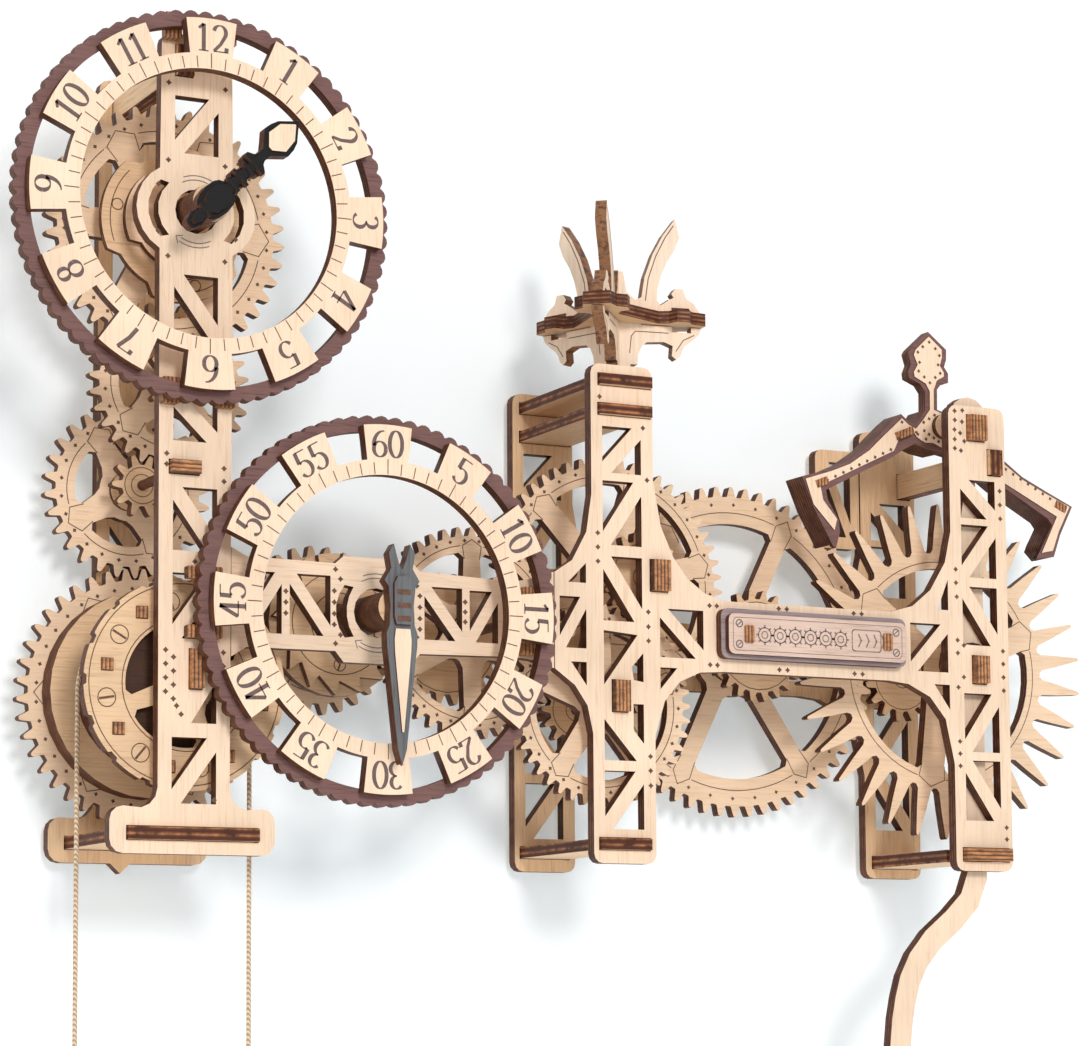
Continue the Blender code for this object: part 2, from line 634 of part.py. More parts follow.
HOUR_STATIONS = ((-12.0, 1.6), (-9.0, 2.4), (-5.0, 1.9), (-3.6, 4.0), (0.0, 4.8), (3.6, 4.0),
                 (5.5, 2.2), (14.0, 2.2), (16.5, 3.6), (19.0, 1.6), (22.0, 1.6), (26.5, 5.2),
                 (31.0, 4.4), (36.5, 0.0))
plate("hour_hand", along(HOUR, (-115.2, 136.9), HOUR_STATIONS), [ring(BORE_R, 12)],
      HOUR_HAND_Y, "black", PLY, HOUR)
MINUTE_STATIONS = ((-18.4, 1.0), (-13.6, 4.8), (-4.5, 3.0), (-1.0, 4.6), (3.4, 4.6), (9.0, 5.6),
                   (15.0, 4.8), (42.0, 1.5), (46.2, 0.0))
plate("minute_hand", along(MINUTE, (MINUTE[0], -50.0), MINUTE_STATIONS), [ring(BORE_R, 12)],
      MINUTE_HAND_Y, "black", PLY, MINUTE)

# ------------------------------------------------------------------ wheel train
wheel("hour_wheel", HOUR, HOUR_T, HOUR_MODULE, HOUR_PHASE, HOUR_Y, 6, 0, 15.0, 7.5, 9.0)
wheel("reduction_wheel", REDUCTION, REDUCTION_T, REDUCTION_MODULE, REDUCTION_PHASE,
      REDUCTION_Y, 4, 45, 9.0, 6.0, 7.0)
wheel("idler_wheel", IDLER, IDLER_T, TRAIN_MODULE, IDLER_PHASE, TRAIN_Y, 4, 30, 9.0, 6.0, 7.0)
wheel("drum_wheel", DRUM, DRUM_T, TRAIN_MODULE, DRUM_PHASE, TRAIN_Y, 6, 0, 13.0, 9.0, 8.0)
wheel("minute_wheel", MINUTE, MINUTE_T, TRAIN_MODULE, MINUTE_PHASE, TRAIN_Y, 4, 45, 9.0, 6.0)
wheel("second_wheel", SECOND, SECOND_T, SECOND_MODULE, SECOND_PHASE, SECOND_Y, 6, 30, 10.0,
      5.0, 6.0)
wheel("lower_wheel", LOWER, LOWER_T, LOWER_MODULE, LOWER_PHASE, LOWER_Y, 5, 18, 8.0, 5.5, 6.5)
wheel("upper_wheel", UPPER, UPPER_T, UPPER_MODULE, UPPER_PHASE, UPPER_Y, 6, 14, 12.0, 5.5, 7.5)
wheel("great_wheel", GREAT, GREAT_T, GREAT_MODULE, GREAT_PHASE, GREAT_Y, 6, 4, 15.0, 9.0, 9.5, 6)

pinion("reduction_arbor", REDUCTION, REDUCTION_PINION_T, HOUR_MODULE,
       REDUCTION_PINION_PHASE, HOUR_Y)
pinion("idler_arbor", IDLER, IDLER_PINION_T, REDUCTION_MODULE, IDLER_PINION_PHASE, REDUCTION_Y)
pinion("second_arbor", SECOND, SECOND_PINION_T, TRAIN_MODULE, SECOND_PINION_PHASE, TRAIN_Y)
pinion("lower_arbor", LOWER, LOWER_PINION_T, SECOND_MODULE, LOWER_PINION_PHASE, SECOND_Y)
pinion("upper_arbor", UPPER, UPPER_PINION_T, LOWER_MODULE, UPPER_PINION_PHASE, LOWER_Y,
       GREAT_Y - 0.6)
pinion("great_arbor", GREAT, GREAT_PINION_T, UPPER_MODULE, GREAT_PINION_PHASE, UPPER_Y)
pinion("escape_arbor", ESCAPE, ESCAPE_PINION_T, GREAT_MODULE, ESCAPE_PINION_PHASE, GREAT_Y)

# escape wheel: long pointed teeth on a ring
ESCAPE_TIP_R = 55.9
ESCAPE_ROOT_R = 40.6
ESCAPE_RING_IN = 34.5
ESCAPE_PHASE = 6.6
escape_teeth = []
for tooth in range(ESCAPE_T):
    middle = ESCAPE_PHASE + tooth * 360.0 / ESCAPE_T
    for offset, radius in ((-3.6, ESCAPE_ROOT_R), (-0.7, ESCAPE_TIP_R), (0.7, ESCAPE_TIP_R),
                           (3.6, ESCAPE_ROOT_R)):
        angle = math.radians(middle + offset)
        escape_teeth.append((radius * math.cos(angle), radius * math.sin(angle)))
plate("escape_wheel", escape_teeth,
      [ring(BORE_R, 12)] + spoke_windows(9.0, ESCAPE_RING_IN, 3, 22, 9.0, 8),
      ESCAPE_Y, "wheel", WHEEL_T, ESCAPE)

# stepped arbors
turned("hour_arbor", HOUR,
       [(0, HOUR_HAND_Y - 1.0), (ARBOR_R, HOUR_HAND_Y - 1.0), (ARBOR_R, HOUR_HAND_Y + PLY + 0.4),
        (5.6, HOUR_HAND_Y + PLY + 0.4), (5.6, HOUR_Y - 6.0), (13.0, HOUR_Y - 6.0),
        (13.0, HOUR_Y - 0.4), (ARBOR_R, HOUR_Y - 0.4), (ARBOR_R, ARBOR_BACK), (0, ARBOR_BACK)],
       "wheel")
turned("minute_arbor", MINUTE,
       [(0, MINUTE_HAND_Y - 1.0), (ARBOR_R, MINUTE_HAND_Y - 1.0),
        (ARBOR_R, MINUTE_HAND_Y + PLY + 0.4), (5.6, MINUTE_HAND_Y + PLY + 0.4),
        (5.6, UPPER_Y - 0.1), (22.0, UPPER_Y - 0.1), (22.0, UPPER_Y + 3.2), (18.5, UPPER_Y + 3.2),
        (18.5, TRAIN_Y - 1.0), (ARBOR_R, TRAIN_Y - 1.0), (ARBOR_R, ARBOR_BACK), (0, ARBOR_BACK)],
       "wheel")
CORE_R = 23.0
DRUM_DISC_R = 31.0
turned("drum_core", DRUM,
       [(0, ARBOR_FRONT), (ARBOR_R, ARBOR_FRONT), (ARBOR_R, DRUM_Y + PLY + 0.4),
        (CORE_R, DRUM_Y + PLY + 0.4), (CORE_R, DRUM_Y + 29.0), (DRUM_DISC_R, DRUM_Y + 29.0),
        (DRUM_DISC_R, TRAIN_Y - 0.6), (ARBOR_R, TRAIN_Y - 0.6), (ARBOR_R, ARBOR_BACK),
        (0, ARBOR_BACK)],
       "wheel", 32)
plate("drum_front_disc", ring(DRUM_DISC_R, 36),
      [ring(BORE_R, 12)] + spoke_windows(9.0, 17.0, 4, 40, 6.5, 3), DRUM_Y, "wheel", PLY, DRUM)

# ------------------------------------------------------------ anchor, pendulum
ANCHOR_Y = -37.5
ANCHOR_T = 10.5
ANCHOR_LIP = 1.9           # front sheet that reaches over the escape teeth
ANCHOR = [(-6.4, 5.4), (-6.3, 11.5), (-8.2, 14.0), (-12.6, 15.7), (-12.9, 17.7), (-11.7, 20.5),
          (-12.8, 24.1), (-12.0, 25.5), (-4.7, 32.0), (2.5, 26.5), (2.4, 23.1), (1.5, 20.6),
          (3.1, 18.4), (3.0, 15.3), (0.2, 14.7), (-1.5, 12.6), (-1.6, 5.8), (2.5, 4.8), (6.5, 3.5),
          (9.5, 0.5), (16.0, -2.6), (24.7, -9.2), (32.4, -14.4), (41.7, -18.5), (52.8, -23.2),
          (47.6, -33.2), (44.8, -40.9), (37.4, -42.1), (44.3, -30.0), (42.7, -28.0), (24.5, -18.4),
          (9.5, -8.4), (4.0, -7.4), (-0.8, -8.7), (-6.7, -7.8), (-10.7, -6.4), (-14.7, -8.4),
          (-19.5, -11.5), (-32.5, -17.8), (-45.8, -24.4), (-45.1, -27.7), (-41.0, -34.0),
          (-40.7, -38.0), (-42.3, -43.3), (-43.4, -42.8), (-50.5, -30.7), (-54.9, -20.5),
          (-44.1, -17.3), (-37.1, -14.2), (-29.2, -8.9), (-24.4, -4.2), (-19.2, 0.6), (-16.0, 3.2),
          (-13.3, 1.1), (-10.5, 0.0), (-8.1, 2.9)]
anchor = to_mesh(plate("anchor", ANCHOR, [], ANCHOR_Y, "birch", ANCHOR_T, PIVOT))
anchor_rod = cylinder("anchor_rod", PIVOT, ARBOR_R, ARBOR_FRONT, ARBOR_BACK, "wheel")
boolean(anchor, anchor_rod, "UNION")
# the rear sheets stop outside the circle that the escape teeth sweep
relief = cylinder("escape_relief", ESCAPE, ESCAPE_TIP_R + 3.0, ANCHOR_Y + ANCHOR_LIP,
                  ANCHOR_Y + ANCHOR_T + 2.0, "wheel", 60)
boolean(anchor, relief, "DIFFERENCE")
finish(anchor, "birch")

ROD_HALF = 3.9
ROD_NECK = 2.3
BOB_Z = -230.0
BOB_R = 30.0
EYE_R = 7.6
EYE_OUT = 10.8
# centre line of the lower rod: offset from the pivot line and level
ROD_BEND = ((0.2, -77.4), (-3.1, -85.7), (-9.6, -92.2), (-17.8, -98.7), (-23.4, -105.2),
            (-26.8, -111.6), (-28.6, -117.9), (-29.9, -124.3), (-30.8, -132.5), (-30.6, -142.0),
            (-28.6, -151.0), (-23.6, -160.0), (-16.0, -167.5), (-7.6, -174.0), (-2.2, -181.0),
            (0.0, -190.0))


def offset_line(points, distance):
    """The polyline moved sideways; left of its direction for a positive distance."""
    moved = []
    for i, point in enumerate(points):
        before = points[max(i - 1, 0)]
        after = points[min(i + 1, len(points) - 1)]
        dx = after[0] - before[0]
        dz = after[1] - before[1]
        length = math.hypot(dx, dz)
        moved.append((point[0] - dz / length * distance, point[1] + dx / length * distance))
    return moved


bend = [(x, z - PIVOT[1]) for x, z in ROD_BEND]
eye_z = ESCAPE[1] - PIVOT[1]
rod_right = [(ROD_NECK, -8.0), (ROD_NECK, -26.0), (ROD_HALF, -34.0)]
rod_right += arc((0, eye_z), EYE_OUT, 64, -64, 7) + [(ROD_HALF, eye_z - 14.0)]
rod_right += offset_line(bend, ROD_HALF) + [(ROD_HALF, BOB_Z - PIVOT[1] + 8.0)]
rod_left = [(-ROD_NECK, -8.0), (-ROD_NECK, -26.0), (-ROD_HALF, -34.0)]
rod_left += arc((0, eye_z), EYE_OUT, 116, 244, 7) + [(-ROD_HALF, eye_z - 14.0)]
rod_left += offset_line(bend, -ROD_HALF) + [(-ROD_HALF, BOB_Z - PIVOT[1] + 8.0)]
head = arc((0, 0), 7.4, -70, 250, 15)
rod_outline = head + rod_left + rod_right[::-1]
plate("pendulum_rod", rod_outline, [ring(BORE_R, 12), ring(EYE_R, 20, (0, eye_z))],
      ROD_Y, "birch", PLY, PIVOT)
plate("pendulum_bob", ring(BOB_R, 32), [], ROD_Y + PLY + FIT, "mauve", 6.0,
      (PIVOT[0], BOB_Z))

# ------------------------------------------------------------------ top ornament
ORNAMENT = (3.0, -48.0)
ORNAMENT_TURNS = (-9.2, 110.8, 230.8)
VANE = [(-0.6, 75.3), (4.6, 75.3), (4.6, 80.4), (7.0, 80.4), (7.2, 83.5), (8.4, 86.3),
        (10.2, 87.7), (15.9, 88.1), (18.8, 87.0), (18.5, 83.8), (19.9, 82.7), (21.3, 83.8),
        (21.9, 85.7), (23.0, 87.3), (25.3, 88.9), (27.6, 91.0), (28.4, 93.1), (25.0, 93.1),
        (25.0, 91.4), (18.5, 91.4), (18.5, 93.1), (8.3, 93.1), (8.3, 97.7), (18.5, 97.7),
        (18.5, 99.3), (24.5, 99.3), (24.5, 97.7), (28.2, 97.7), (26.2, 100.8), (23.5, 102.5),
        (22.4, 105.4), (19.8, 105.4), (18.5, 103.6), (19.3, 102.5), (17.8, 101.7), (14.6, 99.9),
        (13.7, 101.5), (13.9, 105.0), (15.0, 109.0), (16.9, 113.4), (19.7, 117.7), (21.4, 122.0),
        (20.0, 127.8), (15.8, 122.2), (12.4, 116.0), (9.6, 108.5), (8.5, 102.0), (6.4, 101.0),
        (3.6, 103.4), (2.4, 109.8), (-0.6, 109.8)]
VANE_T = 3.6


def vane(name, turn):
    """One upright leaf of the ornament, its inner edge on the axis."""
    leaf = to_mesh(plate(name, VANE, [], -VANE_T / 2, "wheel", VANE_T))
    leaf.rotation_euler = (math.radians(90), 0.0, math.radians(turn))
    leaf.location = (ORNAMENT[0] * MM, ORNAMENT[1] * MM, 0.0)
    return leaf


ornament = vane("ornament_vanes", ORNAMENT_TURNS[0])
for index, azimuth in enumerate(ORNAMENT_TURNS[1:]):
    boolean(ornament, finish(vane("vane_%d" % index, azimuth), "wheel"), "UNION")
finish(ornament, "wheel")

ROSETTE_Z = 93.4
ROSETTE_T = 4.0
lobes = []
for azimuth in ORNAMENT_TURNS:
    turn = math.radians(azimuth)
    for r, s in ((9.0, -6.3), (13.5, -3.9), (16.5, -5.0), (18.0, -8.3), (22.0, -8.3), (24.0, -5.4),
                 (29.0, -4.2), (29.0, 4.2), (24.0, 5.4), (22.0, 8.3), (18.0, 8.3), (16.5, 5.0),
                 (13.5, 3.9), (9.0, 6.3)):
        lobes.append((r * math.cos(turn) - s * math.sin(turn), r * math.sin(turn) + s * math.cos(turn)))
star = []
reach = 8.3 + FIT
half = VANE_T / 2 + FIT
for azimuth in ORNAMENT_TURNS:
    turn = math.radians(azimuth)
    for r, s in ((reach, -half), (reach, half)):
        star.append((r * math.cos(turn) - s * math.sin(turn), r * math.sin(turn) + s * math.cos(turn)))
    gap = math.radians(azimuth + 60.0)
    star.append((2 * half / math.sqrt(3) * math.cos(gap), 2 * half / math.sqrt(3) * math.sin(gap)))
rosette = plate("ornament_rosette", lobes, [star], 0.0, "wheel", ROSETTE_T)
rosette.rotation_euler = (0.0, 0.0, 0.0)
rosette.location = (ORNAMENT[0] * MM, ORNAMENT[1] * MM, (ROSETTE_Z + ROSETTE_T / 2) * MM)

# ------------------------------------------------------------------ weight cords
CORD_R = 0.7
WRAP_R = CORE_R + FIT + CORD_R
CORD_END_Z = -138.0
CORD_STEP = 4.2


def hanging_cord(name, side, y, wrap):
    """Wraps part of the drum, then hangs straight down on one side of it."""
    route = []
    count = 18
    for i in range(count):
        angle = math.radians(90 - side * 90 + side * wrap * (1 - i / (count - 1)))
        place_y = y - 5.0 * (1 - i / (count - 1))
        route.append((DRUM[0] + WRAP_R * math.cos(angle), place_y,
                      DRUM[1] + WRAP_R * math.sin(angle)))
    x = DRUM[0] + side * WRAP_R
    level = DRUM[1] - CORD_STEP
    while level > CORD_END_Z:
        route.append((x, y, level))
        level -= CORD_STEP
    route.append((x, y, CORD_END_Z))
    return tube(name, route, CORD_R, "cord")


def cord_hook(name, x, y):
    """A small wooden ring the cord ends in."""
    return plate(name, ring(4.5, 14), [ring(2.2, 10)], y - 1.5, "wheel", 3.0,
                 (x, CORD_END_Z - FIT - 4.5))


LEFT_CORD_Y = -25.5
RIGHT_CORD_Y = -43.5
hanging_cord("left_cord", -1, LEFT_CORD_Y, 100.0)
hanging_cord("right_cord", 1, RIGHT_CORD_Y + 3.0, 100.0)
cord_hook("left_cord_ring", DRUM[0] - WRAP_R, LEFT_CORD_Y)
cord_hook("right_cord_ring", DRUM[0] + WRAP_R, RIGHT_CORD_Y + 3.0)
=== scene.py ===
"""Looks of the plywood wall clock: materials, engraving, fine teeth, dials, hands, cords."""
import json
import math

import bmesh
import bpy
from mathutils import Matrix, Vector


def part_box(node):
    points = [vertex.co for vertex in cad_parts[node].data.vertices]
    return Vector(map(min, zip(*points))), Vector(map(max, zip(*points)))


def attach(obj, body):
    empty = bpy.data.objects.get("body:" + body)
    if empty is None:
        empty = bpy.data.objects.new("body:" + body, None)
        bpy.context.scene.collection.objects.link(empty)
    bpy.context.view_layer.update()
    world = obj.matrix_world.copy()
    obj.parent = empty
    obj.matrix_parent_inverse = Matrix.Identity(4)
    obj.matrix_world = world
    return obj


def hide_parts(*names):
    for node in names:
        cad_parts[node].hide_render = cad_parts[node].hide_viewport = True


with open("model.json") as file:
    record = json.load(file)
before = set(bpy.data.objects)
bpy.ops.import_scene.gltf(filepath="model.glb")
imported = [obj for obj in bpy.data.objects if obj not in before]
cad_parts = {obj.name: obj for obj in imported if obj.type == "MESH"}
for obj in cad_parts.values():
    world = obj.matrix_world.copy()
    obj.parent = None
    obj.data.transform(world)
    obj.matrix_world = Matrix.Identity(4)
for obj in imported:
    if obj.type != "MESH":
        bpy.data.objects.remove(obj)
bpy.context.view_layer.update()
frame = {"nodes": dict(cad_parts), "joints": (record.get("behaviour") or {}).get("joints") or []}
MM = 0.001
scene = bpy.context.scene
JOINTS = {j["name"]: j for j in frame["joints"]}


def axis_of(joint):
    """(x, z) of a joint's axis in millimetres."""
    place = JOINTS[joint]["pos_m"]
    return place[0] / MM, place[2] / MM


def span(node):
    """((x0, y0, z0), (x1, y1, z1)) of a CAD node in millimetres."""
    low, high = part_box(node)
    return [v / MM for v in low], [v / MM for v in high]


def placed(name, data):
    """A new object that holds data, linked to the scene."""
    obj = bpy.data.objects.new(name, data)
    scene.collection.objects.link(obj)
    return obj


# ---- camera
camera_data = bpy.data.cameras.new("camera")
camera = placed("camera", camera_data)
camera_data.lens = 109.27
camera_data.sensor_width = 36.0
camera_data.shift_y = 0.1595
camera_data.clip_start = 0.05
camera_data.clip_end = 20.0
right = Vector((0.88913, -0.45760, -0.00632))
up = Vector((-0.04195, -0.09525, 0.99457))
back = -Vector((0.45572, 0.88404, 0.10389))
turn = Matrix((right, up, back)).transposed().to_4x4()
camera.matrix_world = Matrix.Translation((-0.48128, -0.93504, -0.12918)) @ turn
scene.camera = camera


# ---- materials
def add(tree, kind, **settings):
    node = tree.nodes.new(kind)
    for key, value in settings.items():
        setattr(node, key, value)
    return node


def node_tree(name):
    """A new material, its tree, its shader and its coordinate outputs."""
    material = bpy.data.materials.new(name)
    material.use_nodes = True
    tree = material.node_tree
    coords = add(tree, "ShaderNodeTexCoord").outputs
    return material, tree, tree.nodes["Principled BSDF"], coords


def ramp(tree, source, stops):
    node = add(tree, "ShaderNodeValToRGB")
    elements = node.color_ramp.elements
    while len(elements) < len(stops):
        elements.new(0.5)
    for element, (place, colour) in zip(elements, stops):
        element.position = place
        element.color = (*colour, 1.0)
    tree.links.new(source, node.inputs["Fac"])
    return node.outputs["Color"]


def shade(colour, factor):
    return tuple(min(1.0, c * factor) for c in colour)


def noise(tree, coords, stretch, detail=3.0, rough=0.6):
    """Fractal noise, with stretch cells per metre along each axis."""
    mapping = add(tree, "ShaderNodeMapping")
    mapping.inputs["Scale"].default_value = stretch
    tree.links.new(coords, mapping.inputs["Vector"])
    node = add(tree, "ShaderNodeTexNoise")
    node.inputs["Scale"].default_value = 1.0
    node.inputs["Detail"].default_value = detail
    node.inputs["Roughness"].default_value = rough
    tree.links.new(mapping.outputs["Vector"], node.inputs["Vector"])
    return node.outputs["Fac"]


def mix(tree, factor, a, b, blend="MIX"):
    node = add(tree, "ShaderNodeMix", data_type="RGBA", blend_type=blend)
    for socket, value in ((0, factor), (6, a), (7, b)):
        if isinstance(value, (int, float)):
            node.inputs[socket].default_value = value
        elif isinstance(value, tuple):
            node.inputs[socket].default_value = (*value, 1.0)
        else:
            tree.links.new(value, node.inputs[socket])
    return node.outputs[2]


def maths(tree, operation, a, b=0.0):
    node = add(tree, "ShaderNodeMath", operation=operation)
    for socket, value in ((0, a), (1, b)):
        if isinstance(value, (int, float)):
            node.inputs[socket].default_value = value
        else:
            tree.links.new(value, node.inputs[socket])
    return node.outputs[0]


def separate(tree, source):
    node = add(tree, "ShaderNodeSeparateXYZ")
    tree.links.new(source, node.inputs[0])
    return node.outputs


def relief(tree, shader, height, strength, distance):
    node = add(tree, "ShaderNodeBump")
    node.inputs["Strength"].default_value = strength
    node.inputs["Distance"].default_value = distance
    tree.links.new(height, node.inputs["Height"])
    tree.links.new(node.outputs["Normal"], shader.inputs["Normal"])


BIRCH = (0.90, 0.69, 0.515)
# SHADED_BIRCH: birch made darker and more orange for parts that sit in shade (rear frames, inner arbors,
# hubs, beam faces): painted shade
SHADED_BIRCH = (0.80, 0.555, 0.345)
TAN = (0.70, 0.46, 0.27)
MAUVE = (0.205, 0.106, 0.097)
LILAC = (0.36, 0.28, 0.29)
BURNT = (0.062, 0.019, 0.010)
AMBER = (0.50, 0.215, 0.080)


def plywood(name, face, along="z", thick="y", layer=1.33, contrast=1.0, gloss=0.58, glow=1.0):
    """A sheet: faces grained along one axis, and edges scorched in layers along thick."""
    material, tree, shader, coords = node_tree(name)
    place = coords["Object"]
    depth = separate(tree, place)["xyz".index(thick)]
    facing = separate(tree, coords["Normal"])["xyz".index(thick)]
    across = [900.0, 900.0, 900.0]
    across["xyz".index(along)] = 42.0
    fine = noise(tree, place, tuple(across), 4.0, 0.62)
    pores = noise(tree, place, tuple(a * 2.6 for a in across), 2.0, 0.5)
    cloud = noise(tree, place, (38.0,) * 3, 2.0, 0.5)
    grain = ramp(tree, fine, [(0.30, shade(face, 1 - 0.17 * contrast)), (0.52, face),
                              (0.75, shade(face, 1 + 0.05 * contrast))])
    specks = ramp(tree, pores, [(0.33, shade(face, 1 - 0.30 * contrast)), (0.43, (1.0, 1.0, 1.0))])
    grain = mix(tree, 0.35, grain, specks, "MULTIPLY")
    tone = ramp(tree, cloud, [(0.30, (0.88, 0.84, 0.80)), (0.70, (1.06, 1.03, 1.0))])
    face_colour = mix(tree, 0.75, grain, tone, "MULTIPLY")
    depth = maths(tree, "MULTIPLY", depth, 1000.0 / layer)
    layers = maths(tree, "FRACT", maths(tree, "ADD", depth, 100.0))
    scorch = noise(tree, place, (260.0,) * 3)
    edge = ramp(tree, layers, [(0.0, BURNT), (0.32, shade(BURNT, 2.2)), (0.54, shade(AMBER, 0.62 * glow)),
                               (0.78, shade(BURNT, 2.0 * glow)), (1.0, BURNT)])
    bare = ramp(tree, scorch, [(0.34, (0.0, 0.0, 0.0)), (0.62, (min(1.0, 0.75 * glow),) * 3)])
    edge = mix(tree, bare, shade(BURNT, 1.1), edge)
    flat = maths(tree, "GREATER_THAN", maths(tree, "ABSOLUTE", facing), 0.6)
    tree.links.new(mix(tree, flat, edge, face_colour), shader.inputs["Base Color"])
    rough = maths(tree, "ADD", maths(tree, "MULTIPLY", fine, 0.25), gloss - 0.12)
    tree.links.new(rough, shader.inputs["Roughness"])
    shader.inputs["Specular IOR Level"].default_value = 0.22
    relief(tree, shader, maths(tree, "ADD", fine, pores), 0.22, 0.00012)
    return material


def striped(name, stripe):
    """The sawn end of a tenon: layers of ply seen end on, scorched brown."""
    material, tree, shader, coords = node_tree(name)
    place = coords["Object"]
    wobble = noise(tree, place, (500.0,) * 3)
    value = maths(tree, "MULTIPLY", separate(tree, place)["xyz".index(stripe)], 1000.0 / 1.25)
    value = maths(tree, "ADD", value, maths(tree, "MULTIPLY", wobble, 0.35))
    value = maths(tree, "FRACT", maths(tree, "ADD", value, 200.0))
    colour = ramp(tree, value, [(0.0, BURNT), (0.12, shade(AMBER, 0.6)), (0.30, AMBER),
                                (0.62, shade(AMBER, 1.35)), (0.80, shade(AMBER, 0.55)), (1.0, BURNT)])
    scorch = noise(tree, place, (220.0, 220.0, 700.0), rough=0.65)
    shading = ramp(tree, scorch, [(0.32, (0.35, 0.28, 0.25)), (0.62, (1.0, 1.0, 1.0))])
    tree.links.new(mix(tree, 0.9, colour, shading, "MULTIPLY"), shader.inputs["Base Color"])
    tree.links.new(maths(tree, "ADD", maths(tree, "MULTIPLY", wobble, 0.3), 0.5),
                   shader.inputs["Roughness"])
    relief(tree, shader, value, 0.4, 0.0002)
    return material


def engraved(name, dark, light):
    """Laser engraving: a scorched line, uneven along its length."""
    material, tree, shader, coords = node_tree(name)
    burn = noise(tree, coords["Object"], (900.0,) * 3)
    tree.links.new(ramp(tree, burn, [(0.3, dark), (0.7, light)]), shader.inputs["Base Color"])
    tree.links.new(maths(tree, "ADD", burn, 0.3), shader.inputs["Roughness"])
    return material


WOOD = {
    "frame": plywood("birch_front", BIRCH, "z", contrast=0.5),
    "bar": plywood("birch_arm", BIRCH, "x", contrast=0.5),
    "dial": plywood("birch_dial", shade(BIRCH, 1.03), "z", contrast=0.4),
    "panel": plywood("panel_ply", (0.70, 0.515, 0.425), "x", contrast=0.6),
    # rear frames and inner parts use the darker, more orange birch: painted shade for parts set back in
    # shade
    "rear": plywood("shaded_birch_rear", SHADED_BIRCH, "z", contrast=0.8),
    # wheels: birch a little darker and more orange, as it looks in shade among the frames: painted shade
    "wheel": plywood("shaded_birch_wheel", (0.88, 0.65, 0.455), "x", contrast=0.55),
    "inner": plywood("shaded_birch_inner", SHADED_BIRCH, "x", contrast=0.8),
    # near-black sheet: painted shadow, put behind openings
    "window_shadow": plywood("window_shadow_ply", (0.075, 0.034, 0.020), "x"),
    # beam faces also use the darker, more orange birch: painted shade
    "shelf": plywood("birch_shelf", SHADED_BIRCH, "y", "z", layer=2.0, glow=1.6),
    "upright": plywood("birch_upright", SHADED_BIRCH, "y", "x", layer=2.0, glow=1.6),
    "flat": plywood("birch_flat", TAN, "x", "z", gloss=0.5, glow=1.3),
    "rim": plywood("mauve_rim", MAUVE, "x", contrast=1.4, gloss=0.6),
    "lilac": plywood("mauve_plate", LILAC, "x", contrast=1.2),
    "black": plywood("black_hand", (0.009, 0.008, 0.009), "x", contrast=1.6, gloss=0.62),
    "grey": plywood("grey_hand", (0.155, 0.16, 0.17), "z", contrast=1.4, gloss=0.5),
    "tenon_x": striped("tenon_upright", "x"),
    "tenon_z": striped("tenon_level", "z"),
    "line": engraved("scorched_line", (0.075, 0.032, 0.02), (0.20, 0.10, 0.06)),
    "ink": engraved("scorched_numeral", (0.10, 0.062, 0.055), (0.19, 0.125, 0.115)),
    "soft": engraved("light_engraving", (0.17, 0.13, 0.125), (0.30, 0.24, 0.22)),
}


def rope_material():
    material, tree, shader, coords = node_tree("twisted_cord")
    wave = add(tree, "ShaderNodeTexWave", bands_direction="DIAGONAL")
    wave.inputs["Scale"].default_value = 420.0
    wave.inputs["Distortion"].default_value = 1.5
    tree.links.new(coords["Object"], wave.inputs["Vector"])
    tree.links.new(ramp(tree, wave.outputs["Fac"], [(0.1, (0.44, 0.28, 0.15)), (0.6, (0.72, 0.52, 0.33)),
                                                    (0.9, (0.78, 0.65, 0.50))]),
                   shader.inputs["Base Color"])
    shader.inputs["Roughness"].default_value = 0.85
    relief(tree, shader, wave.outputs["Fac"], 0.6, 0.0002)
    return material


ROPE = rope_material()


def paint(node, material):
    """A CAD node keeps its mesh and takes a material on its object's slots."""
    for place in frame["nodes"][node].material_slots:
        place.link = "OBJECT"
        place.material = material


def dress(obj, body, material):
    obj.data.materials.clear()
    obj.data.materials.append(material)
    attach(obj, body)
    return obj


# ---- outlines
def polar(centre, radius, degrees):
    angle = math.radians(degrees)
    return centre[0] + radius * math.cos(angle), centre[1] + radius * math.sin(angle)


def arc(centre, radius, start, end, count):
    return [polar(centre, radius, start + (end - start) * i / (count - 1)) for i in range(count)]


def ring(radius, count, centre):
    return arc(centre, radius, 0.0, 360.0 * (count - 1) / count, count)


def moved(points, origin):
    return [(origin[0] + x, origin[1] + z) for x, z in points]


def box(x0, x1, z0, z1):
    return [(x0, z0), (x1, z0), (x1, z1), (x0, z1)]


def rounded(x0, x1, z0, z1, radius):
    points = []
    for i, (x, z) in enumerate(((x1 - radius, z1 - radius), (x0 + radius, z1 - radius),
                                (x0 + radius, z0 + radius), (x1 - radius, z0 + radius))):
        points += arc((x, z), radius, i * 90, i * 90 + 90, 6)
    return points


